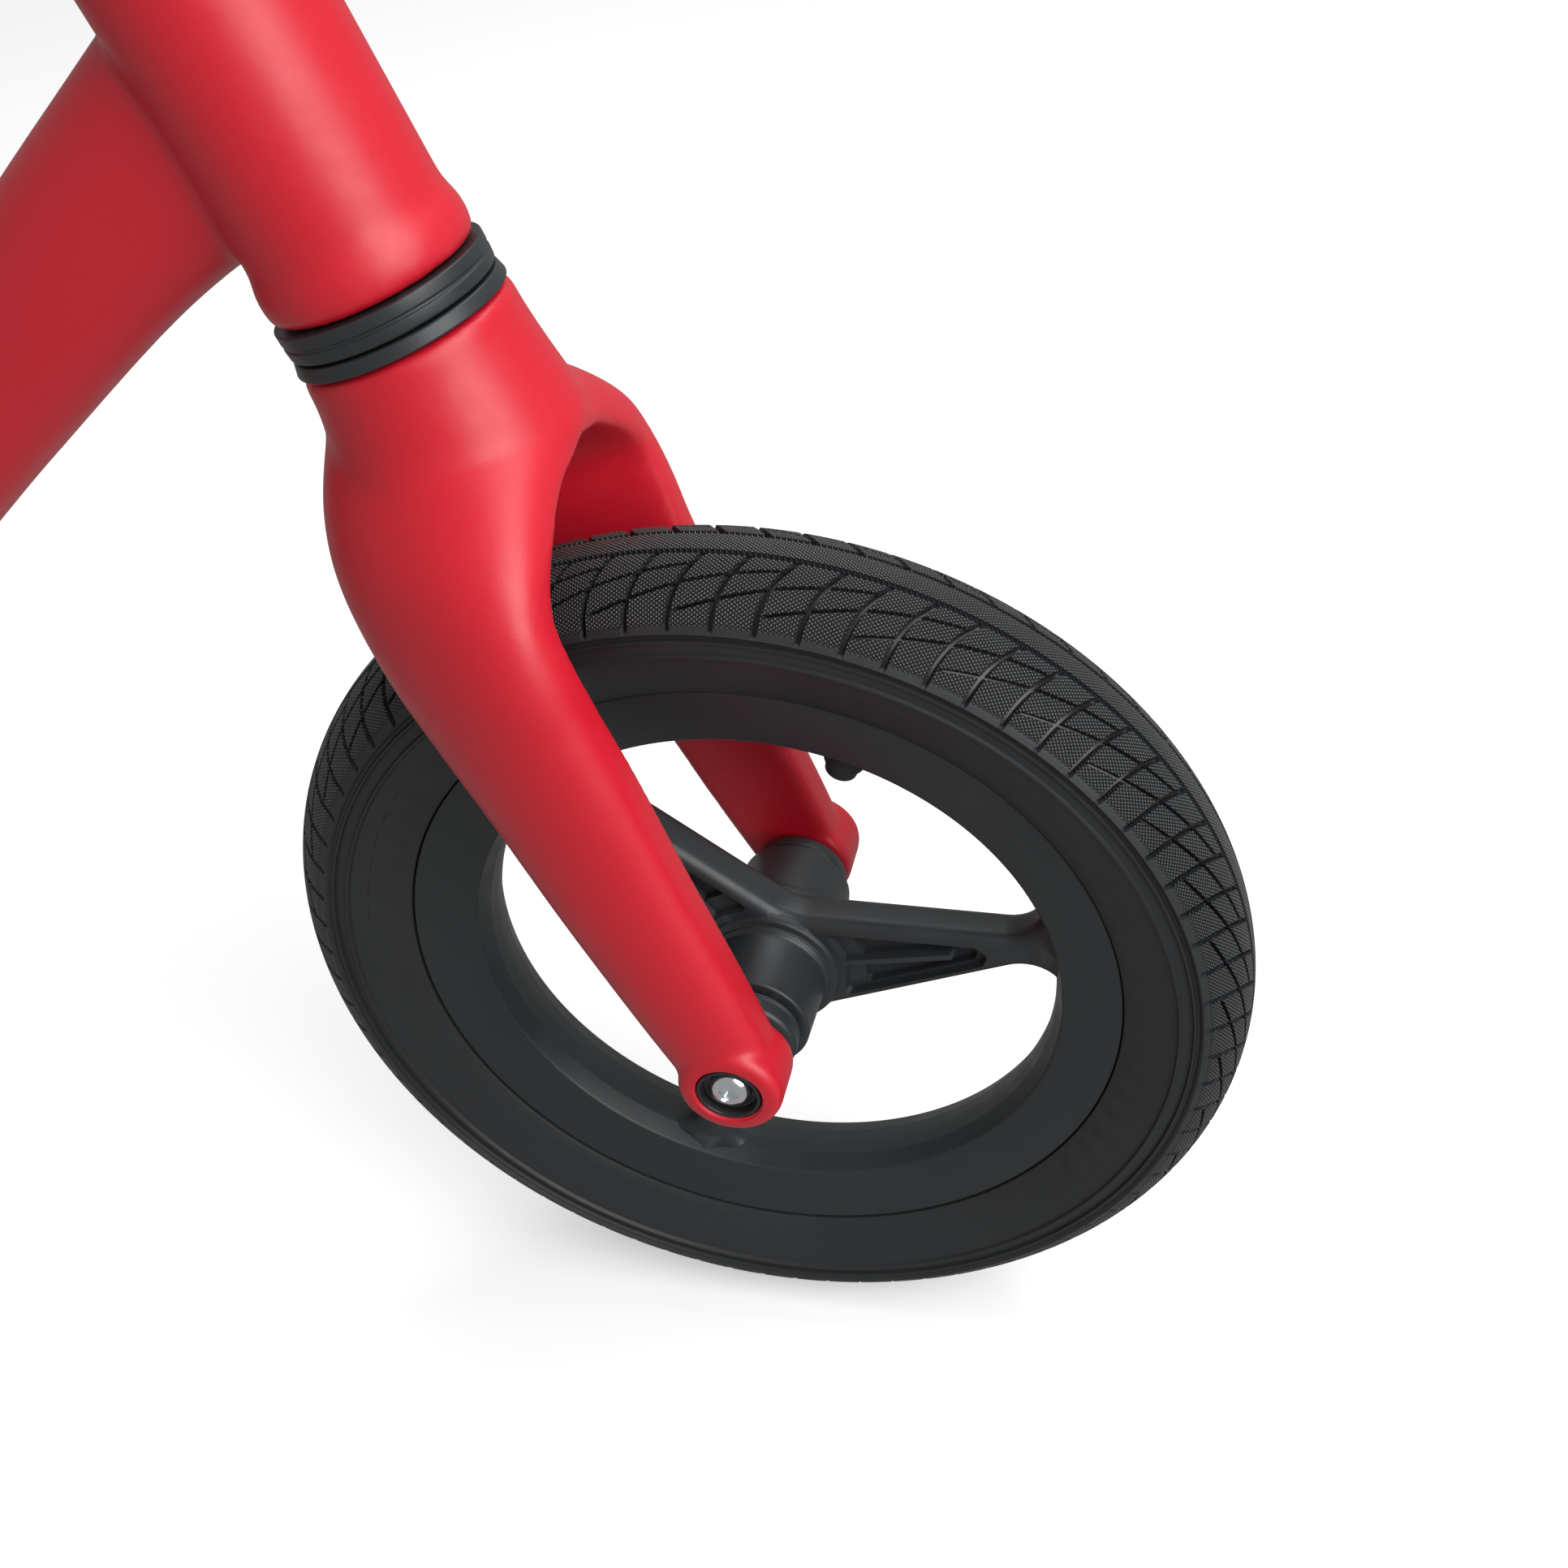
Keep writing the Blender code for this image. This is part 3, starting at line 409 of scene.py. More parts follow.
def skin(name, rings, caps=True, round_rings=False):
    """Quads through rings of equal point counts; the rings close, and so may the row of rings."""
    shape = bmesh.new()
    rows = [[shape.verts.new(p) for p in ring] for ring in rings]
    pairs = list(zip(rows, rows[1:]))
    if round_rings:
        pairs.append((rows[-1], rows[0]))
    count = len(rows[0])
    for lower, upper in pairs:
        for i in range(count):
            j = (i + 1) % count
            shape.faces.new((lower[i], lower[j], upper[j], upper[i]))
    if caps and not round_rings:
        shape.faces.new(rows[0])
        shape.faces.new(rows[-1])
    return to_mesh(name, shape)


def filleted(corners, segments=5, closed=True):
    """Polyline whose corners (x, y, radius) are rounded with arcs."""
    points = []
    count = len(corners)
    for i, (x, y, radius) in enumerate(corners):
        here = Vector((x, y))
        if radius <= 0 or (not closed and i in (0, count - 1)):
            points.append(here)
            continue
        before = Vector(corners[i - 1][:2]) - here
        after = Vector(corners[(i + 1) % count][:2]) - here
        half = before.angle(after) / 2
        reach = min(radius / math.tan(half), before.length * 0.49, after.length * 0.49)
        bulge = reach * math.tan(half)
        start, end = here + before.normalized() * reach, here + after.normalized() * reach
        centre = here + (before.normalized() + after.normalized()).normalized() * (bulge / math.sin(half))
        first = start - centre
        turn = first.angle_signed(end - centre)
        points += [centre + Matrix.Rotation(-turn * k / segments, 2) @ first for k in range(segments + 1)]
    return points


def lathe(name, corners, material, place, steps=96, closed=True):
    """A turned piece about local Z, from corners (radius, height, fillet)."""
    rings = [[Vector((max(radius, 0.0) * c, max(radius, 0.0) * s, height)) for c, s in circle(steps)]
             for radius, height in filleted(corners, closed=closed)]
    return put(name, skin(name, rings, caps=False, round_rings=closed), material, place)


def solid_lathe(name, corners, material, place, steps=96):
    """A turned piece without a bore: its profile starts and ends on the axis."""
    return lathe(name, corners, material, place, steps, closed=False)


def box(name, low, high, material, place, radius=2.0, segments=4):
    """A block with rounded edges between two corners."""
    shape = bmesh.new()
    bmesh.ops.create_cube(shape, size=1)
    low, high = Vector(low), Vector(high)
    bmesh.ops.scale(shape, vec=high - low, verts=shape.verts)
    bmesh.ops.translate(shape, vec=(low + high) / 2, verts=shape.verts)
    bmesh.ops.bevel(shape, geom=shape.edges, offset=radius, segments=segments, profile=0.5, affect="EDGES")
    return put(name, to_mesh(name, shape), material, place)


def curve_through(points, steps):
    """Catmull-Rom curve through points of any length, with so many steps between neighbours."""
    data = np.array(points, float)
    ends = np.vstack([2 * data[0] - data[1], data, 2 * data[-1] - data[-2]])
    path = []
    for a, b, c, d in zip(ends, ends[1:], ends[2:], ends[3:]):
        for i in range(steps):
            t = i / steps
            path.append(((2 * b) + (c - a) * t + (2 * a - 5 * b + 4 * c - d) * t ** 2
                         + (3 * b - a - 3 * c + d) * t ** 3) / 2)
    return np.array(path + [data[-1]])


def sweep(name, path, radius, material, place, around=24, loop=False):
    """A round bar along a path."""
    path = [Vector(p) for p in path]
    rings = []
    guide = Vector((0, 0, 1))
    for point, ahead in zip(path, headings(path, loop)):
        ahead.normalize()
        side = ahead.cross(guide)
        if side.length < 1e-3:
            side = ahead.cross(Vector((1, 0, 0)))
        side.normalize()
        guide = side.cross(ahead).normalized()
        rings.append([point + (side * c + guide * s) * radius for c, s in circle(around)])
    return put(name, skin(name, rings, round_rings=loop), material, place)


def bake(obj):
    """Replace a mesh by what its modifiers make of it."""
    graph = bpy.context.evaluated_depsgraph_get()
    graph.update()
    mesh = bpy.data.meshes.new_from_object(obj.evaluated_get(graph))
    obj.modifiers.clear()
    obj.data = mesh
    return obj


def combine(obj, operation, *tools):
    """Join closed meshes to a piece, or cut them from it, and remove them."""
    for tool in tools:
        mod = obj.modifiers.new("combine", "BOOLEAN")
        mod.operation = operation
        mod.solver = "MANIFOLD"
        mod.object = tool
    bake(obj)
    for tool in tools:
        bpy.data.objects.remove(tool, do_unlink=True)
    smooth(obj.data)
    return obj


def join(obj, *tools):
    return combine(obj, "UNION", *tools)


def cut(obj, *tools):
    return combine(obj, "DIFFERENCE", *tools)


def even_skin(obj, voxel):
    """Rebuild a mesh from even faces, whose size is in millimetres."""
    remesh = obj.modifiers.new("even", "REMESH")
    remesh.mode = "VOXEL"
    remesh.voxel_size = voxel * MM
    bake(obj)


BLEND_FADE = 25.0  # the smoothing of a part of a casting fades in over this height


def melt(obj, voxel, rounds, place=None, above=0.0):
    """Blend the seams of a casting: an even skin, then smoothing.

    With a place, only the stretch above a height along its Z is smoothed, which fades in.
    """
    even_skin(obj, voxel)
    even = obj.modifiers.new("soften", "SMOOTH")
    even.factor = 0.5
    even.iterations = rounds
    if place is not None:
        level = place.inverted()
        group = obj.vertex_groups.new(name="blend")
        for vertex in obj.data.vertices:
            height = (level @ vertex.co).z / MM
            group.add([vertex.index], min(max((height - above) / BLEND_FADE, 0), 1), "REPLACE")
        even.vertex_group = "blend"
    bake(obj)
    obj.vertex_groups.clear()
    obj.data.shade_smooth()
    return obj


def rod(name, radius, low, high, place, steps=64):
    """A plain cylinder for cutting a bore."""
    corners = [(0, high, 0), (radius, high, 0), (radius, low, 0), (0, low, 0)]
    return solid_lathe(name, corners, BLACK, place, steps)


def hex_hole(name, half, low, high, place):
    """A hexagonal prism for cutting a key socket, half as wide as its flats are apart."""
    return rod(name, half / math.cos(math.pi / 6), low, high, place, steps=6)


# ---- tyres
GROOVE_DEPTH = 2.0
CROSS_FLOOR, CROSS_MOUTH = 0.45, 1.1  # half widths of a cross groove
# Places of the columns along one pitch, from the middle of its cross groove.
CROSS_COLUMNS = np.array((-1.1, -0.45, 0.45, 1.1, 2.7, 4.27, 5.84, 7.41, 8.98, 10.55))
CROSS_SWING = math.radians(3.1)  # how far a cross groove runs round the wheel on its way in
CROSS_TOP = math.radians(55.73)  # where one cross groove meets the right-hand shoulder
SIDE_OFFSET = math.radians(-0.93)  # the left-hand grooves sit this far from the right-hand ones
SWING_FROM = math.radians(11.6)  # inside this angle the grooves run straight across
RIB_ARC = 4.83  # the groove beside the middle rib
RIB_FLOOR, RIB_MOUTH = 0.5, 0.95
RIB_SHARE = 0.9  # its depth, as a share of the other grooves'
CROSS_FADE = 1.25, 1.2  # a cross groove runs out over these lengths at the shoulder and at the rib
# A slanting groove, as turns round the wheel and angles round the section.
SLANT_TURN = np.radians((0.57, 5.57, 11.0, 16.5, 22.07))
SLANT_ARC = np.radians((48.0, 40.0, 31.1, 24.0, 18.3))
SLANT_EDGES = ((-0.64, 0.0), (-0.26, 1.0), (0.26, 1.0), (0.64, 0.0))  # offset across, share of the depth
SLANT_ROWS = 8.6 + 0.5 * np.arange(32)
MIDDLE_ROWS = (1.6, 3.2, RIB_ARC - RIB_MOUTH, RIB_ARC - RIB_FLOOR, RIB_ARC + RIB_FLOOR, RIB_ARC + RIB_MOUTH,
               7.0, 7.9)
SHOULDER_ROWS = (25.4, 26.7, 27.9, 28.7, SECTION * TREAD_EDGE)
PLAIN_EDGE = math.radians(56)  # the knurling stops here


def swing(arc):
    """Turn of a cross groove at an angle round the section, from the shoulder's."""
    away = np.clip((TREAD_EDGE - np.abs(arc)) / (TREAD_EDGE - SWING_FROM), 0, 1)
    inner = np.clip(arc / SWING_FROM, -1, 1)
    return -CROSS_SWING * away ** 2.2 + SIDE_OFFSET * (1 - inner) / 2


def slant_crossings(base, side):
    """Distances across the tread where slanting grooves cross each column; nan where none does."""
    phase = CROSS_TOP + (SIDE_OFFSET if side < 0 else 0.0)
    found = []
    for lap in range(-1, 3):
        start = (phase - base) % (2 * PITCH) + lap * 2 * PITCH
        across = np.full(len(base), SLANT_ROWS.mean())
        for _ in range(12):
            past = start - swing(side * across / SECTION)
            across = np.interp(past, SLANT_TURN, SLANT_ARC) * SECTION
        found.append(np.where((past > SLANT_TURN[0]) & (past < SLANT_TURN[-1]), across, np.nan))
    return found


def half_tread(base, side):
    """Distance across and slant depth of every vertex on one half, from the middle outward."""
    rows = np.concatenate([MIDDLE_ROWS, SLANT_ROWS, SHOULDER_ROWS])
    across = np.repeat(rows[:, None], len(base), axis=1)
    depth = np.zeros_like(across)
    step = SLANT_ROWS[1] - SLANT_ROWS[0]
    for crossing in slant_crossings(base, side):
        first = np.round((crossing - SLANT_ROWS[0]) / step - 1.5)
        for k, (offset, share) in enumerate(SLANT_EDGES):
            column = np.flatnonzero((first + k >= 0) & (first + k < len(SLANT_ROWS)))
            row = (first[column] + k).astype(int) + len(MIDDLE_ROWS)
            across[row, column] = crossing[column] + offset
            depth[row, column] = share
    return across, depth


def cross_depth(across):
    """Share of the depth that the cross grooves have, on the columns of one pitch repeated."""
    edge = SECTION * TREAD_EDGE
    reach = np.clip((edge - across) / CROSS_FADE[0], 0, 1) * np.clip((across - RIB_ARC) / CROSS_FADE[1], 0, 1)
    column = np.tile(np.abs(CROSS_COLUMNS), PITCHES)
    return np.clip((CROSS_MOUTH - column) / (CROSS_MOUTH - CROSS_FLOOR), 0, 1) * reach


def rib_depth(across):
    """Share of the depth that the groove beside the middle rib has."""
    return np.clip((RIB_MOUTH - np.abs(across - RIB_ARC)) / (RIB_MOUTH - RIB_FLOOR), 0, 1) * RIB_SHARE


SIDEWALL = ((140.1, 24.35), (139.3, 23.5), (138.4, 23.4), (138.1, 24.35), (137.5, 24.35), (137.1, 23.3),
            (134.0, 23.6), (133.6, 24.7), (132.9, 24.65), (132.4, 23.5), (127.6, 21.75), (127.2, 21.6),
            (119.6, 18.3), (119.2, 18.1), (116.2, 16.75), (115.4, 16.0), (115.3, 12.0), (104.2, 11.2))
LINING = ((104.2, 7.2), (131.0, 20.3), (148.0, 11.0))
PAD_ROWS = (11, 12)  # the sidewall rows that carry the raised pads
PAD_COLUMNS = (2.0, 8.0)  # the stretch of a pitch that a pad covers
PAD_PITCHES = tuple(range(18, 24)) + tuple(range(55, 61))
PAD_HEIGHT = 0.35


def tyre(end):
    """Casing with a grooved tread, ribbed sidewalls and beads, as one closed skin."""
    column = np.tile(CROSS_COLUMNS, PITCHES)
    pitch = np.repeat(np.arange(PITCHES), len(CROSS_COLUMNS))
    base = pitch * PITCH + column / TYRE_RADIUS + CROSS_TOP
    count = len(base)
    halves = []
    for side in (-1, 1):
        across, depth = half_tread(base, side)
        depth = np.maximum(np.maximum(depth, cross_depth(across)), rib_depth(across))
        halves.append((side * across / SECTION, depth))
    arcs = np.vstack([halves[0][0][::-1], np.zeros((1, count)), halves[1][0]])
    depth = np.vstack([halves[0][1][::-1], np.zeros((1, count)), halves[1][1]])
    turns = base + swing(arcs)
    out = SECTION_CENTRE + (SECTION - depth * GROOVE_DEPTH) * np.cos(arcs)
    rise = (SECTION - depth * GROOVE_DEPTH) * np.sin(arcs)
    pad = np.isin(pitch, PAD_PITCHES) & (column > PAD_COLUMNS[0]) & (column < PAD_COLUMNS[1])
    for side in (-1, 1):
        wall = np.array(SIDEWALL + LINING)
        radius = np.repeat(wall[:, :1], count, axis=1)
        height = np.repeat(wall[:, 1:], count, axis=1)
        height[PAD_ROWS, :] += PAD_HEIGHT * pad
        turn = np.repeat((base + swing(np.array(side * TREAD_EDGE)))[None], len(wall), axis=0)
        flat = np.zeros_like(turn)
        edge = flat + side * TREAD_EDGE
        parts = ((out, radius), (rise, side * height), (turns, turn), (arcs, edge), (depth, flat))
        out, rise, turns, arcs, depth = [np.vstack((a, b) if side > 0 else (b[::-1], a)) for a, b in parts]
    points = np.stack([out * np.cos(turns), out * np.sin(turns), rise], -1)
    block = (depth < 0.05) & (np.abs(arcs) < PLAIN_EDGE)
    return grid_tyre(end, points, {"block": block, "groove": depth}, turns, arcs)


def grid_tyre(end, points, attributes, turns, arcs):
    """Mesh from the tyre's rows and columns; its triangles follow the slanting grooves."""
    rows, count = turns.shape
    a = np.arange(rows * count).reshape(rows, count)
    b, d = np.roll(a, -1, 1), np.roll(a, -1, 0)
    c = np.roll(d, -1, 1)
    ahead = (arcs > 0)[..., None]
    first = np.where(ahead, np.stack([a, b, c], -1), np.stack([a, b, d], -1))
    second = np.where(ahead, np.stack([a, c, d], -1), np.stack([b, c, d], -1))
    faces = np.concatenate([first, second]).reshape(-1, 3)
    mesh = bpy.data.meshes.new(end + "_tyre_casing")
    mesh.from_pydata(points.reshape(-1, 3).tolist(), [], faces.tolist())
    for name, values in attributes.items():
        layer = mesh.attributes.new(name, "FLOAT", "POINT")
        layer.data.foreach_set("value", values.ravel().astype(np.float32))
    u = turns / (2 * math.pi) * KNURL_AROUND
    v = arcs * SECTION / KNURL_ACROSS
    loops = np.stack([u.ravel()[faces], v.ravel()[faces]], -1)
    start = loops[:, :1, 0]
    loops[..., 0] = start + (loops[..., 0] - start + KNURL_AROUND / 2) % KNURL_AROUND - KNURL_AROUND / 2
    mesh.uv_layers.new(name="tread").data.foreach_set("uv", loops.ravel().astype(np.float32))
    mesh.update()
    obj = put(end + "_tyre_casing", mesh, RUBBER, AXLE[end], angle=40)
    return finish(obj, end + "_wheel", end + "_tyre")


# ---- wheels
RIM_CORNERS = ((103.4, -11.2, 1.5), (RIM_OUTER, -12.1, 0), (RIM_OUTER, -15.7, 0.6), (95.6, -12.1, 1.6),
               (93.0, -5.5, 2.0), (RIM_INNER, -1.3, 0.6))
BARREL = ((0, HUB_HALF, 0), (18.3, HUB_HALF, 1.1), (18.9, 11.6, 1.6), (20.2, 10.4, 0.5), (20.4, 9.6, 0.4),
          (22.4, 9.2, 0.9), (23.2, 7.4, 0))
PLATE_RISE = 4.6  # the spokes' disc grows by this much where it runs into the rim
BEARING_SEAT = 14.3
BEARING_STEP = 23.7
AXLE_HOLE = 7.2
WINDOW_OUTER = 12.0  # corner radius of a window at the rim
WINDOW_INNER = 20.0  # and between two spokes at the hub
SPOKE_ROOT = 22.2  # half a spoke's width if it ran on to the axle
SPOKE_TAPER = 0.2
EDGE_ROUND = 5.4


def window_outline():
    """Points and outward normals round the opening between two spokes; its middle is local X."""
    lean = math.atan(SPOKE_TAPER)
    half = math.pi / SPOKES
    edge = Vector((math.cos(half + lean), math.sin(half + lean)))
    outward = Vector((-edge.y, edge.x))
    root = Vector((math.sin(half), -math.cos(half))) * SPOKE_ROOT
    point = root - edge * (root.y / edge.y)
    inner = Vector((point.x + WINDOW_INNER / edge.y, 0))
    offset = point - outward * WINDOW_OUTER
    limit = RIM_LIP - WINDOW_OUTER
    reach = offset.dot(edge)
    outer = offset + edge * (math.sqrt(reach * reach - offset.length_squared + limit * limit) - reach)
    lead, stop = math.atan2(outward.y, outward.x), math.atan2(outer.y, outer.x)
    arcs = [(inner, WINDOW_INNER, np.linspace(math.pi, lead, 7)),
            (outer, WINDOW_OUTER, np.linspace(lead, stop, 14)),
            (Vector((0, 0)), RIM_LIP, np.linspace(stop, 0, 12)[1:])]
    upper = []
    for centre, radius, angles in arcs:
        for angle in angles:
            normal = Vector((math.cos(angle), math.sin(angle)))
            upper.append((centre + normal * radius, normal))
    lower = [(Vector((p.x, -p.y)), Vector((n.x, -n.y))) for p, n in reversed(upper[1:-1])]
    return upper + lower


def window(end, angle):
    """Cutter for the opening between two spokes, which also rounds their edges."""
    outline = window_outline()
    flat = SPOKE_HALF_THICK - EDGE_ROUND
    heights = [flat + EDGE_ROUND * math.sin(a) for a in np.linspace(0, math.pi / 2, 7)]
    heights.append(SPOKE_HALF_THICK + 6)
    rings = []
    for height in [-h for h in reversed(heights)] + heights:
        over = min((abs(height) - flat) / EDGE_ROUND, 1.0)
        grow = EDGE_ROUND * (1 - math.sqrt(1 - over * over)) + 2 * max(abs(height) - SPOKE_HALF_THICK, 0)
        rings.append([(p + n * grow).to_3d() + Vector((0, 0, height)) for p, n in outline])
    return put("window", skin("window", rings), BLACK, AXLE[end] @ turned(angle))


POCKET_SHELF, POCKET_FLOOR = 5.2, 2.6  # heights of the shelf beside the hub and of the deeper floor
POCKETS = {  # outlines of the two steps of the recess in a spoke, by their heights
    POCKET_SHELF: ((21.5, 13.6, 1.6), (70.5, 4.0, 2.2), (73.0, 0.0, 2.0), (70.5, -4.0, 2.2),
                   (21.5, -13.6, 1.6), (26.4, 0.0, 18.0)),
    POCKET_FLOOR: ((29.5, 10.6, 1.4), (68.0, 3.0, 1.6), (69.8, 0.0, 1.6), (68.0, -3.0, 1.6),
                   (29.5, -10.6, 1.4), (31.8, 0.0, 20.0)),
}
POCKET_MIDDLE = Vector((46.0, 0))
POCKET_DRAFT = (0.95, 1.03)  # growth of the outlines at the floor and above the face
RIB_TOP = SPOKE_HALF_THICK - 0.9


def pocket_cutter(floor, place, side):
    """Drafted prism from a pocket's floor to beyond the spoke's face."""
    rings = []
    for height, grow in zip((floor, SPOKE_HALF_THICK + 3), POCKET_DRAFT):
        outline = [POCKET_MIDDLE + (p - POCKET_MIDDLE) * grow for p in filleted(POCKETS[floor])]
        rings.append([Vector((p.x, p.y, side * height)) for p in outline])
    return put("pocket", skin("pocket", rings), BLACK, place)


def spoke_pocket(end, angle, side):
    """Cutters for the stepped recess in one face of a spoke, with a rib left standing in it."""
    place = AXLE[end] @ turned(angle)
    rings = []
    for height, half, tip in ((POCKET_FLOOR - 2, 2.7, 63.5), (RIB_TOP, 1.0, 61.0)):
        outline = filleted([(18, -half, 0), (tip, -half, half), (tip, half, half), (18, half, 0)], 4)
        rings.append([p.to_3d() + Vector((0, 0, side * height)) for p in outline])
    rib = put("rib", skin("rib", rings), BLACK, place)
    shelf, deep = [pocket_cutter(floor, place, side) for floor in POCKETS]
    return cut(join(shelf, deep), rib)


def wheel(end):
    """Moulded wheel: rim, three pocketed spokes and the hub barrel."""
    rim = [*RIM_CORNERS, *mirror(RIM_CORNERS)]
    body = lathe(end + "_wheel_moulding", rim, BLACK, AXLE[end], steps=224)
    angles = [SPOKE_ANGLE[end] + 2 * math.pi * k / SPOKES for k in range(SPOKES)]
    rise = SPOKE_HALF_THICK + PLATE_RISE
    face = [(0, SPOKE_HALF_THICK, 0), (RIM_LIP - 7.5, SPOKE_HALF_THICK, 9), (RIM_LIP + 0.8, rise, 0),
            (RIM_LIP + 2.6, rise, 0)]
    spokes = solid_lathe("spokes", face + mirror(face), BLACK, AXLE[end], 120)
    cut(spokes, *[window(end, angle + math.pi / SPOKES) for angle in angles])
    join(body, spokes)
    join(body, solid_lathe("hub", [*BARREL, *mirror(BARREL)], BLACK, AXLE[end]))
    cut(body, *[spoke_pocket(end, angle, side) for angle in angles for side in (1, -1)])
    bore = [(0, HUB_HALF + 4, 0), (BEARING_SEAT, HUB_HALF + 4, 0), (BEARING_SEAT, BEARING_STEP, 0),
            (AXLE_HOLE, BEARING_STEP, 0)]
    valve = valve_place(end)
    cut(body, solid_lathe("bore", bore + mirror(bore), BLACK, AXLE[end], 64),
        rod("valve_hole", 4.6, 80, 130, valve, 32))
    smooth(body.data, 32)
    finish(body, end + "_wheel", end + "_wheel")
    stem = [(0, 107, 0), (4.2, 107, 0), (4.2, 93.5, 0.8), (6.3, 92.2, 0.8), (6.3, 86.5, 0.8),
            (5.0, 85.6, 0.4), (5.0, 82.3, 1.2), (0, 81.6, 0)]
    finish(solid_lathe(end + "_valve_stem", stem, SOFT, valve, 48), end + "_wheel", end + "_valve")


def valve_place(end):
    """A frame whose Z runs out through the rim, between two spokes."""
    return AXLE[end] @ turned(SPOKE_ANGLE[end] + math.pi / SPOKES) @ ALONG


def axle_parts(end, body):
    """Spacers, cups and bolts at both ends of an axle."""
    for side, turn in (("right", Matrix()), ("left", FLIP)):
        place = AXLE[end] @ turn
        spacer = [(11.8, 42.55, 0.3), (15.7, 40.6, 2.2), (15.9, 36.2, 0.3), (15.3, 35.8, 0.3),
                  (15.3, 35.2, 0.3), (15.9, 34.8, 0.3), (15.9, 33.9, 0.8), (9.5, 33.4, 0.3), (9.5, 32.35, 0),
                  (6.4, 32.35, 0), (6.4, 42.55, 0)]
        name = "%s_spacer_%s" % (end, side)
        finish(lathe(name + "_bush", spacer, BLACK, place), body, name)
        lip = AXLE_HALF - 0.35
        cup = [(10.0, lip, 0.4), (10.0, CUP_FLOOR - 1.05, 0), (BOLT_HOLE, CUP_FLOOR - 1.05, 0),
               (BOLT_HOLE, CUP_FLOOR, 0), (8.4, CUP_FLOOR, 0.8), (8.9, lip, 0.4)]
        name = "%s_axle_cup_%s" % (end, side)
        finish(lathe(name + "_ring", cup, PAINT, place), body, name)
        button_bolt(end, side, place, body)


def button_bolt(end, side, place, body):
    """Button-head bolt with a chamfered hexagonal socket."""
    seat = CUP_FLOOR + 0.3
    crown = [(0, seat + 3.75, 0), (2.0, seat + 3.7, 0.5), (3.6, seat + 3.45, 2), (5.3, seat + 2.6, 3),
             (6.4, seat + 1.2, 1.5), (6.6, seat, 0.2), (3.9, seat, 0), (3.9, 44.0, 0.4), (0, 44.0, 0)]
    name = "%s_axle_bolt_%s" % (end, side)
    bolt = solid_lathe(name + "_head", crown, ZINC, place, 72)
    cone = [(0, seat + 5, 0), (4.3, seat + 5, 0), (2.6, seat + 3.0, 0), (0, seat + 3.0, 0)]
    lead = solid_lathe("lead_in", cone, ZINC, place, 48)
    cut(bolt, lead, hex_hole("socket", 2.35, seat + 1.2, seat + 6, place))
    smooth(bolt.data, 30)
    finish(bolt, body, name)


# ---- fork and frame castings
FORK_STATIONS = (  # height, side, middle, half depth, half thickness, tilt in degrees, flare of the front
    (-2, 53.3, -0.4, 14.9, 9.6, 0, 0),
    (30, 53.0, -1.3, 17.3, 10.4, 0, 0),
    (70, 52.4, -2.4, 19.3, 11.0, 0, 0),
    (106, 51.6, -3.4, 21.9, 11.8, 3, 0.06),
    (132, 50.6, -5.5, 25.2, 12.3, 7, 0.16),
    (152, 48.5, -7.7, 29.3, 12.8, 11, 0.28),
    (171, 42.5, -9.0, 32.4, 12.4, 14, 0.36),
    (185, 32.5, -7.6, 34.1, 12.0, 15, 0.35),
    (199, 17.0, -3.4, 33.2, 12.2, 15, 0.18),
    (206, 0.0, -0.6, 34.0, 12.4, 14, 0),
)
NECK_STATIONS = (  # height, middle, half depth, half width, tilt in degrees
    (228.5, 0, 30.0, 30.0, 0),
    (221, 0, 30.2, 30.0, 3),
    (213, 0, 31.2, 31.4, 8),
    (205, 0, 32.8, 33.2, 13),
    (198, 0, 33.6, 36.4, 15),
)
REAR_STATIONS = (  # along, side, middle, half depth, half thickness, tilt, flare
    (-2, 53.3, 0.0, 15.4, 9.6, 0, 0),
    (30, 53.0, 0.5, 18.0, 10.4, 0, 0),
    (80, 52.0, 1.5, 20.8, 11.5, 0, 0),
    (130, 50.0, 2.0, 23.0, 13.0, 0, 0),
    (165, 43.5, 1.0, 24.5, 14.5, 0, 0),
    (187, 30.0, 0.0, 26.0, 16.5, 0, 0),
    (197, 14.0, 0.0, 27.0, 18.0, 0, 0),
    (199, 0.0, 0.0, 27.5, 18.5, 0, 0),
)
BEAM_STATIONS = (  # x, z, half height, half width
    (176, 431, 31, 18),
    (128, 393, 26, 19.5),
    (72, 343, 24, 20.5),
    (10, 289, 24.5, 22),
    (-45, 253, 26, 24),
    (-92, 236, 28, 26),
)
CROWN_FLATTEN = 0.5  # moves a crown section's widest line towards its inner face
FULL_TILT = 11  # sections that are tilted this much are flattened in full
OUTER_ROUND = 2.15  # exponents of a leg's section: round outside, flatter inside
INNER_ROUND = 8.0
BEAM_ROUND = 2.4


def leg_section(centre, deep, side, flatten):
    """Rounded section whose inner half is squarer than its outer half, and shallower when flattened."""
    points = []
    centre = centre - side * flatten
    for c, s in circle(64):
        power, thick = (OUTER_ROUND, 1 + flatten) if s >= 0 else (INNER_ROUND, 1 - flatten)
        points.append(centre + (deep * c + side * s * thick) * oval(c, s, power))
    return points


def dipped(reach, tilt):
    """Vector of a length along local X, dipping by an angle in degrees."""
    angle = math.radians(tilt)
    return Vector((math.cos(angle), 0, -math.sin(angle))) * reach


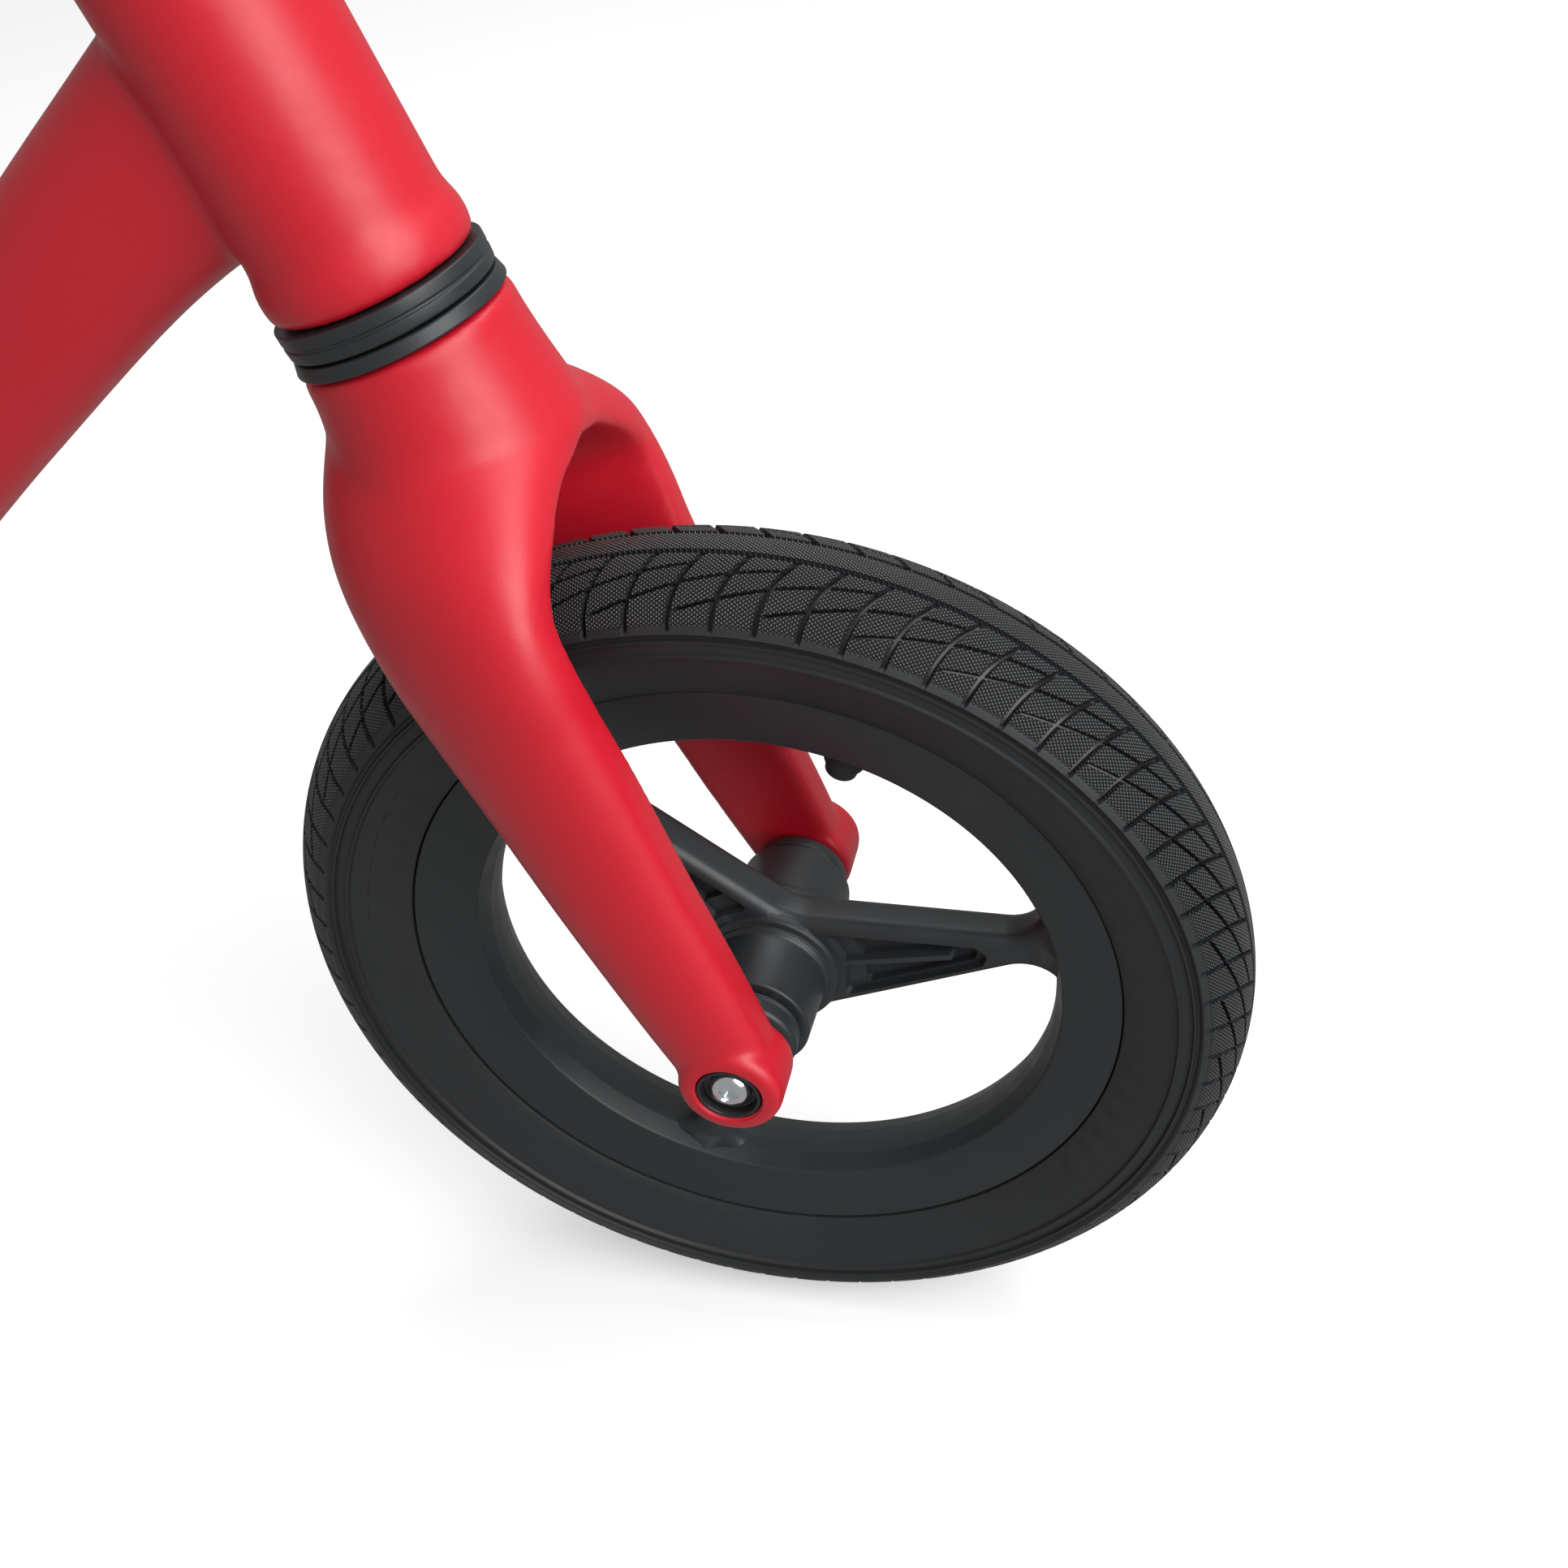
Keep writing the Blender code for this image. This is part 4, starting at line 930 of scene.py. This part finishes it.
def arch(name, stations, place):
    """Two legs and the bridge between them, in one loft."""
    rows = curve_through(stations, 6)
    rows = np.vstack([rows, rows[:-1][::-1] * (1, -1, 1, 1, 1, 1, -1)])
    spine = [Vector((m, -y, h)) for h, y, m, *_ in rows]
    rings = []
    for point, ahead, row in zip(spine, headings(spine), rows):
        half_depth, half_thick, tilt, flare = row[3:]
        side = Vector((0, -ahead.z, ahead.y)).normalized() * half_thick
        deep = dipped(half_depth, tilt) - Vector((0, flare * half_depth, 0))
        rings.append(leg_section(point, deep, side, CROWN_FLATTEN * min(tilt / FULL_TILT, 1)))
    return put(name, skin(name, rings), RED, place)


def boss_tools(place):
    """Solid bosses to join at the leg ends, and the cutters of their cup seats and bolt holes."""
    bosses, cutters = [], []
    for turn in (Matrix(), FLIP):
        face, back = AXLE_HALF + 0.2, BOSS_INNER - 0.1
        rounded = [(0, face, 0), (BOSS_RADIUS, face, 3.6), (BOSS_RADIUS, back, 3.0), (0, back, 0)]
        bosses.append(solid_lathe("boss", rounded, RED, place @ turn))
        seat = [(0, AXLE_HALF + 6, 0), (11.0, AXLE_HALF + 6, 0), (11.0, AXLE_HALF - 0.1, 0),
                (10.35, AXLE_HALF - 0.7, 0), (10.35, CUP_FLOOR - 1.3, 0), (BOLT_HOLE, CUP_FLOOR - 1.3, 0),
                (BOLT_HOLE, 20, 0), (0, 20, 0)]
        cutters.append(solid_lathe("seat", seat, RED, place @ turn))
    return bosses, cutters


def fork():
    """Cast fork with its crown flowing into the neck."""
    body = arch("fork_casting", FORK_STATIONS, STEER)
    rings = []
    for height, x, deep, wide, tilt in curve_through(NECK_STATIONS, 6):
        rings.append([Vector((x, wide * s, height)) + dipped(deep, tilt) * c for c, s in circle(72)])
    join(body, put("neck", skin("neck", rings), RED, STEER))
    melt(body, 1.2, 34, STEER, CROWN_FROM)
    bosses, cutters = boss_tools(AXLE["front"])
    join(body, *bosses)
    melt(body, 1.2, 6)
    flat = rod("face", 60, CROWN_TOP - 0.1, CROWN_TOP + 30, STEER)
    bore = rod("bore", STEERER_BORE, 206, CROWN_TOP + 9, STEER)
    cut(body, flat, bore, *cutters)
    finish(body, "steering", "fork")


def main_beam():
    """The beam from the head tube down to the seat tube."""
    rows = curve_through(BEAM_STATIONS, 8)
    path = [Vector((x, 0, z)) for x, z, _, _ in rows]
    rings = []
    for point, ahead, (_, _, tall, wide) in zip(path, headings(path), rows):
        up = Vector((ahead.z, 0, -ahead.x)).normalized() * tall
        side = Vector((0, wide, 0))
        rings.append([point + (up * c + side * s) * oval(c, s, BEAM_ROUND) for c, s in circle(40)])
    return put("frame_casting", skin("frame_casting", rings), RED)


def frame_casting():
    """Cast frame: head tube, main beam, seat tube and the rear legs."""
    body = main_beam()
    low, high = HEAD_TUBE
    r = HEAD_RADIUS
    head = [(0, high, 0), (r, high, 0.8), (r + 1.8, high - 2, 2), (r + 1.8, high - 9, 3), (r, high - 14, 6),
            (r, low + 14, 6), (r + 1.8, low + 9, 3), (r + 1.8, low + 2, 2), (r, low, 0.8), (0, low, 0)]
    post = [(0, SEAT_TUBE_TOP, 0), (18, SEAT_TUBE_TOP, 1), (18, 29, 8), (21, 18, 10), (20, -38, 6),
            (15, -46, 5), (0, -46, 0)]
    bosses, cutters = boss_tools(AXLE["rear"])
    join(body, arch("rear_legs", REAR_STATIONS, LEGS), solid_lathe("head", head, RED, STEER),
         solid_lathe("post", post, RED, SEAT), *bosses)
    melt(body, 1.6, 14)
    faces = [rod("face_top", 40, high - 0.1, high + 20, STEER),
             rod("face_low", 40, low - 11, low + 0.1, STEER),
             rod("face_seat", 30, SEAT_TUBE_TOP - 0.1, SEAT_TUBE_TOP + 12, SEAT)]
    head_bore = [(0, high + 8, 0), (18, high + 8, 0), (18, high - 16, 0), (16, high - 18, 0),
                 (16, low + 18, 0), (18, low + 16, 0), (18, low - 8, 0), (0, low - 8, 0)]
    cut(body, *faces, solid_lathe("head_bore", head_bore, RED, STEER), rod("seat_bore", 13.9, -43, 54, SEAT),
        *cutters)
    finish(body, "frame", "frame")


# ---- headset, clamps and screws
def headset():
    """Cups and covers at both ends of the head tube, and the clamp on the steerer."""
    bore = STEERER_BORE
    low, high = HEAD_TUBE
    r = HEADSET_RADIUS
    cover = [(r - 0.3, CROWN_TOP + 4.15, 0.8), (r + 0.8, CROWN_TOP + 0.3, 0.5), (bore, CROWN_TOP + 0.3, 0),
             (bore, CROWN_TOP + 4.15, 0)]
    finish(lathe("lower_crown_race_cover", cover, BLACK, STEER), "steering", "lower_headset_cover")
    for end, face, way in (("lower", low, -1), ("upper", high, 1)):
        lip, seat = face + way * 8.15, face + way * 0.3
        profile = [(r - 0.2, lip, 0.9), (r, seat + way * 4.6, 0.3), (r - 0.5, seat + way * 4.2, 0.3),
                   (r - 0.5, seat + way * 3.6, 0.3), (r, seat + way * 3.2, 0.3), (r, seat, 0.5),
                   (17.7, seat, 0), (17.7, face - way * 13, 0), (15.4, face - way * 13, 0),
                   (15.4, face + way * 1.3, 0), (20.8, face + way * 1.3, 0), (20.8, lip, 0.3)]
        finish(lathe(end + "_cup_shell", profile, BLACK, STEER), "frame", end + "_headset_cup")
    top = high + 8.5
    cap = [(17.0, top + 7, 1.2), (r - 1.1, top + 2.6, 2.0), (r - 0.1, top, 0.5), (bore, top, 0),
           (bore, top + 7, 0.4)]
    finish(lathe("upper_cap_shell", cap, BLACK, STEER), "steering", "upper_headset_cover")
    collar("steerer_clamp", "steering", STEER, bore, 18.6, top + 7.3, top + 19.3)


SCREW_HOLE = 2.8


def collar(name, body, place, inner, outer, low, high):
    """Split clamp collar with ears, and the pinch bolt through them."""
    hoop = [(outer, high, 1.3), (outer, low, 1.3), (inner, low, 0.5), (inner, high, 0.5)]
    ring = lathe(name + "_hoop", hoop, PAINT, place)
    ears = box("ears", (-outer - 9, -7, low + 0.7), (-outer + 2.5, 7, high - 0.7), PAINT, place, radius=2.2)
    slit = box("slit", (-outer - 12, -1.1, low - 4), (-inner + 5, 1.1, high + 4), PAINT, place, 0.2, 1)
    across = place @ shift(x=-outer - 4, z=(low + high) / 2) @ ACROSS
    join(ring, ears)
    cut(ring, slit, rod("hole", SCREW_HOLE, -12, 12, across, 32))
    finish(ring, body, name)
    socket_screw(name + "_bolt", body, across, 7.3, -8.6)


def socket_screw(node, body, place, seat, end):
    """Socket-head screw along local Z."""
    top = seat + 4.2
    head = [(0, top, 0), (4.15, top, 0.5), (4.15, seat, 0.2), (2.5, seat, 0.1), (2.5, end, 0.5), (0, end, 0)]
    screw = solid_lathe(node + "_steel", head, ZINC, place, 48)
    cut(screw, hex_hole("socket", 2.0, seat + 1.2, top + 3, place))
    smooth(screw.data, 30)
    finish(screw, body, node)


# ---- handlebar
BAR_BEND = ((0, 0, 0), (0, 23, 0), (0, 38, 3), (-1, 56, 16), (-3, 76, 34), (-6, 98, 41))
BAR_SWEEP = math.radians(9)
RIDGE_PITCH = 5.6  # spacing of the finger rings on a grip
FACEPLATE = 17.0  # how far the faceplate reaches in front of the bar's centre
COUNTERBORE = 4.7
STEM_WIDE, STEM_TALL = 19.9, 23.9  # half sizes of the clamp round the bar
STEM_FOOT = 262
STEM_SCREWS = {"upper": 17.2, "lower": -17.2}


def handlebar():
    """Stem, faceplate, their screws, the bent bar and its grips."""
    clamp = STEER @ shift(x=BAR_REACH, z=BAR_HEIGHT)
    top = BAR_HEIGHT + 12
    quill = [(0, top, 0), (BAR_RADIUS, top, 2.5), (BAR_RADIUS, STEM_FOOT, 0.8), (0, STEM_FOOT, 0)]
    stem = solid_lathe("stem_casting", quill, PAINT, STEER)
    wide, tall = STEM_WIDE, STEM_TALL
    head = box("stem_head", (-18, -wide, -tall), (-0.55, wide, tall), PAINT, clamp, 2.6)
    bridge = box("stem_bridge", (-BAR_REACH - 6, -12.9, -18.9), (-10, 12.9, 18.9), PAINT, clamp, 3.5)
    join(stem, head, bridge)
    plate = box("stem_cap", (0.55, -wide, -tall), (FACEPLATE, wide, tall), PAINT, clamp, 2.4)
    seat = FACEPLATE - COUNTERBORE
    for piece in (stem, plate):
        cut(piece, rod("bore", BAR_RADIUS + 0.25, -40, 40, clamp @ ACROSS, 96))
    for label, height in STEM_SCREWS.items():
        place = clamp @ shift(z=height) @ ALONG
        for piece in (stem, plate):
            cut(piece, rod("hole", SCREW_HOLE, -14, 40, place, 32))
        cut(plate, rod("recess", 4.8, seat, seat + 20, place, 48))
        socket_screw("stem_bolt_" + label, "handlebar", place, seat + 0.3, -13)
    finish(stem, "handlebar", "stem")
    finish(plate, "handlebar", "stem_faceplate")
    sweep_way = Vector((-math.sin(BAR_SWEEP), math.cos(BAR_SWEEP), 0))
    start = Vector(BAR_BEND[-1])
    tip = start + sweep_way * ((BAR_HALF - 8 - start.y) / sweep_way.y)
    left = [Vector(p) for p in curve_through(BAR_BEND, 8)[1:]] + [start.lerp(tip, t) for t in (0.05, 0.5, 1)]
    bar = sweep("handlebar_tube", [*other_side(left), (0, 0, 0), *left], BAR_RADIUS, PAINT, clamp, 48)
    finish(bar, "handlebar", "handlebar")
    for label, side in (("right", -1), ("left", 1)):
        grip(label, clamp, start, side)


def grip(label, clamp, start, side):
    """Rubber grip: flange, ribbed barrel with finger rings, and a safety knob."""
    way = Vector((-math.sin(BAR_SWEEP), side * math.cos(BAR_SWEEP), 0))
    foot = Vector((start.x, side * start.y, start.z))
    place = clamp @ Matrix.Translation(foot * MM) @ way.to_track_quat("Z", "X").to_matrix().to_4x4()
    length = (BAR_HALF - start.y) / math.cos(BAR_SWEEP)
    bore, inside = BAR_RADIUS + 0.35, length - 6.5
    shape = [(0, length, 0), (15, length, 2), (21, length - 2.5, 3), (22, length - 7, 3),
             (20, length - 12, 3), (15.3, length - 15, 2)]
    for ridge in np.arange(length - 20, 20, -RIDGE_PITCH):
        shape += [(15.2, ridge, 0.5), (14.2, ridge - 0.9, 0.4), (14.2, ridge - 2.1, 0.4),
                  (15.2, ridge - 3, 0.5)]
    shape += [(15.0, 14, 1.5), (19.3, 11, 1.5), (19.3, 5, 1.5), (bore, 4, 0.3), (bore, inside, 0),
              (0, inside, 0)]
    finish(solid_lathe("grip_%s_sleeve" % label, shape, SOFT, place, 72), "handlebar", "grip_" + label)


# ---- saddle
SADDLE_STATIONS = (  # along, half width, edge height, top height
    (-118, 30, 33, 46),
    (-112, 52, 30, 57),
    (-88, 67, 28, 64),
    (-50, 66, 26, 61),
    (-8, 47, 25, 57),
    (38, 29, 25, 55),
    (82, 22, 26, 54),
    (112, 19, 28, 51),
    (122, 11, 31, 44),
)
WIDEST_SHARE = 0.42  # how far up the padding is widest
TOP_ROUND, UNDER_ROUND = 2.3, 4.5  # exponents of its sections
SEAM_SHARE = 0.45  # the seams fade out below this share of its height
RAIL_PATH = ((-80, 23, 16.5), (-67, 23, 11), (-54, RAIL_HALF, 3), (-42, RAIL_HALF, 0), (-30, RAIL_HALF, 0),
             (38, RAIL_HALF, 0), (48, RAIL_HALF, 0), (62, 20, 3), (78, 14, 11), (91, 7, 16), (96, 0, 17))


def cushion_skin(shrink=1.0):
    """Crowned sections of the padding, inside the CAD solid."""
    rings = []
    for x, half, edge, top in curve_through(SADDLE_STATIONS, 5):
        ring = []
        widest = edge + (top - edge) * WIDEST_SHARE
        for c, s in circle(36):
            power, tall = (TOP_ROUND, top - widest) if s > 0 else (UNDER_ROUND, widest - edge)
            reach = oval(c, s, power) * shrink
            ring.append(Vector((x * (0.5 + shrink / 2), half * c * reach, widest + tall * s * reach)))
        rings.append(ring)
    return skin("saddle_padding", rings)


PUFF_FRAMES = 20


def inflate(obj, cap):
    """Puff a closed mesh up as stuffed cloth, and hold every point within the cap, in millimetres."""
    even_skin(obj, 5)
    rest = np.array([v.co for v in obj.data.vertices])
    cloth = obj.modifiers.new("cloth", "CLOTH")
    cloth.settings.use_pressure = True
    cloth.settings.uniform_pressure_force = 4.0
    cloth.settings.effector_weights.gravity = 0.0
    cloth.settings.mass = 0.3
    scene = bpy.context.scene
    for number in range(1, PUFF_FRAMES + 1):
        scene.frame_set(number)
    bake(obj)
    scene.frame_set(1)
    move = np.array([v.co for v in obj.data.vertices]) - rest
    size = np.linalg.norm(move, axis=1, keepdims=True)
    move *= np.minimum(1.0, cap * MM / np.maximum(size, 1e-9))
    obj.data.vertices.foreach_set("co", (rest + move).ravel())
    finer = obj.modifiers.new("finer", "SUBSURF")
    finer.levels = finer.render_levels = 1
    bake(obj)
    obj.data.shade_smooth()


def sewn_channel(obj, place, offset, width, depth):
    """Press two seams into the padding's top, following its outline."""
    level = place.inverted()
    outline = curve_through(SADDLE_STATIONS, 5)
    co = np.array([level @ v.co for v in obj.data.vertices]) / MM
    half, edge, top = [np.interp(co[:, 0], outline[:, 0], outline[:, k]) for k in (1, 2, 3)]
    high = np.clip((co[:, 2] - edge - (top - edge) * SEAM_SHARE) / 6, 0, 1)
    away = np.abs(np.abs(co[:, 1]) - half * offset)
    co[:, 2] -= depth * np.exp(-(away / width) ** 2) * high
    for vertex, point in zip(obj.data.vertices, co):
        vertex.co = place @ (Vector(point) * MM)


def saddle():
    """Padding with its seams, piping, pan and rails, and the seatpost below them."""
    place = SADDLE_LEVEL
    cushion = put("saddle_padding", cushion_skin(0.97), VINYL, place)
    inflate(cushion, 4.0)
    sewn_channel(cushion, place, 0.52, 1.8, 1.6)
    finish(cushion, "saddle", "saddle_cushion")
    outline = curve_through(SADDLE_STATIONS, 6)
    piping = [Vector((x, -half * 0.99, edge + 1.2)) for x, half, edge, _ in outline]
    piping += other_side(piping)
    finish(sweep("saddle_piping", piping, 1.7, VINYL, place, 12, loop=True), "saddle")
    base = []
    for x, half, edge, _ in outline:
        low = edge - 5.5
        corners = [(-half * 0.9, edge - 0.3, 1.0), (half * 0.9, edge - 0.3, 1.0),
                   (half * 0.88, low + 1.2, 2.0), (half * 0.7, low, 2.0), (-half * 0.7, low, 2.0),
                   (-half * 0.88, low + 1.2, 2.0)]
        base.append([Vector((x, p.x, p.y)) for p in filleted(corners, 3)])
    finish(put("saddle_base_shell", skin("base", base), BLACK, place), "saddle", "saddle_pan")
    rails = curve_through([*RAIL_PATH, *other_side(RAIL_PATH[:-1])], 6)
    finish(sweep("saddle_rail_wire", rails, RAIL_RADIUS, STEEL, place, 20), "saddle", "saddle_rails")
    seatpost(place)


CLAMP_BACK, CLAMP_FRONT, CLAMP_WIDE = -26.9, 33.9, 28.9  # reach of the rail clamp from the post
CLAMP_SCREWS = {"front": 28, "rear": -20}


def seatpost(place):
    """Post with its cradle for the rails, the plate over them, two screws, and the seat clamp."""
    gap = RAIL_RADIUS + 0.3
    top = SEATPOST_TOP - 9
    tube = [(0, top, 0), (13.55, top, 1), (13.55, -39.9, 1.0), (0, -39.9, 0)]
    post = solid_lathe("seatpost_tube", tube, PAINT, SEAT)
    cradle = box("cradle", (CLAMP_BACK, -CLAMP_WIDE, -gap - 10.9), (CLAMP_FRONT, CLAMP_WIDE, -gap - 0.05),
                 PAINT, place, 2.8)
    join(post, cradle)
    plate = box("rail_clamp", (CLAMP_BACK, -CLAMP_WIDE, gap + 0.05), (CLAMP_FRONT, CLAMP_WIDE, gap + 6.9),
                PAINT, place, 2.2)
    for label, x in CLAMP_SCREWS.items():
        at = place @ shift(x=x) @ FLIP
        for piece in (post, plate):
            cut(piece, rod("hole", SCREW_HOLE, -30, 30, at, 32))
        socket_screw("saddle_clamp_bolt_" + label, "saddle", at, gap + 11.3, -RAIL_RADIUS - 8)
    finish(post, "saddle", "seatpost")
    finish(plate, "saddle", "saddle_clamp_plate")
    collar("seat_clamp", "frame", SEAT, 18.3, 22.6, SEAT_TUBE_TOP - 13, SEAT_TUBE_TOP - 1)


# ---- CAD nodes that keep their shape
KEPT = {"inner_tube": SOFT, "bearing": STEEL, "axle": STEEL, "steerer_tube": STEEL}


def dress_kept_nodes():
    """Better materials for the inner pieces, whose CAD shape is right."""
    for name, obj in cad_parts.items():
        if obj.hide_render:
            continue
        material = next(m for part, m in KEPT.items() if part in name)
        obj.data.materials.clear()
        obj.data.materials.append(material)


# ---- studio
CAMERA_TURN, CAMERA_RISE, CAMERA_ROLL = 0.170853, 0.723014, -0.032612  # radians
CAMERA_AWAY = 0.633054  # metres from the front axle
CAMERA_SLIDE = Vector((0.0642095, 0.0241244))  # across and up, in metres
LENS, SENSOR = 44.594, 36  # millimetres
SHIFT = (-0.12, 0.06)


def camera():
    """The view from the rider's right, above the front wheel."""
    st, ct = math.sin(CAMERA_TURN), math.cos(CAMERA_TURN)
    se, ce = math.sin(CAMERA_RISE), math.cos(CAMERA_RISE)
    back = Vector((st * ce, -ct * ce, se))
    right = Vector((ct, st, 0))
    up = back.cross(right)
    c, s = math.cos(CAMERA_ROLL), math.sin(CAMERA_ROLL)
    right, up = right * c + up * s, up * c - right * s
    where = FRONT.translation + right * CAMERA_SLIDE.x + up * CAMERA_SLIDE.y + back * CAMERA_AWAY
    data = bpy.data.cameras.new("view")
    data.lens = LENS
    data.sensor_width = SENSOR
    data.shift_x, data.shift_y = SHIFT
    data.clip_start = 0.01
    obj = bpy.data.objects.new("view", data)
    obj.matrix_world = Matrix.Translation(where) @ Matrix((right, up, back)).transposed().to_4x4()
    bpy.context.scene.collection.objects.link(obj)
    bpy.context.scene.camera = obj


def soft_box(name, where, target, size, power):
    """A white panel of light aimed at a point; sizes in metres and power in watts."""
    data = bpy.data.lights.new(name, "AREA")
    data.shape = "RECTANGLE"
    data.size, data.size_y = size
    data.energy = power
    obj = bpy.data.objects.new(name, data)
    obj.location = where
    obj.rotation_euler = (Vector(target) - Vector(where)).to_track_quat("-Z", "Y").to_euler()
    bpy.context.scene.collection.objects.link(obj)


def studio():
    """White paper floor, two soft boxes and an even white world."""
    shape = bmesh.new()
    bmesh.ops.create_grid(shape, x_segments=1, y_segments=1, size=6)
    mesh = bpy.data.meshes.new("floor")
    shape.to_mesh(mesh)
    shape.free()
    paper = Finish("floor_paper")
    shade = paper.mix(paper.noise(3, 3), (0.86, 0.86, 0.86), (0.88, 0.88, 0.88))
    paper.colour(shade)
    paper.feed(paper.shader.inputs["Emission Color"], shade)
    paper.feed(paper.shader.inputs["Emission Strength"], 0.42)
    paper.rough(paper.remap(paper.noise(40, 3), 0.3, 0.7, 0.85, 0.95))
    mesh.materials.append(paper.material)
    floor = bpy.data.objects.new("floor", mesh)
    floor.location.z = -0.0004
    floor.visible_diffuse = False
    floor.visible_glossy = False
    bpy.context.scene.collection.objects.link(floor)
    soft_box("key", (1.55, -0.8, 1.2), (0.25, 0, 0.2), (1.3, 1.8), 34)
    soft_box("top", (0.7, 0.6, 2.2), (0.2, 0, 0.2), (1.8, 1.8), 24)
    world = bpy.data.worlds.new("studio")
    world.use_nodes = True
    sky = world.node_tree.nodes["Background"]
    sky.inputs["Color"].default_value = (1, 1, 1, 1)
    sky.inputs["Strength"].default_value = 0.32
    scene = bpy.context.scene
    scene.world = world
    scene.view_settings.view_transform = "Standard"
    scene.view_settings.look = "None"


# ---- assembly
def main():
    """Build everything, front to back."""
    camera()
    studio()
    for end, body in (("front", "steering"), ("rear", "frame")):
        tyre(end)
        wheel(end)
        axle_parts(end, body)
    fork()
    frame_casting()
    headset()
    handlebar()
    saddle()
    dress_kept_nodes()


main()
bpy.context.view_layer.update()
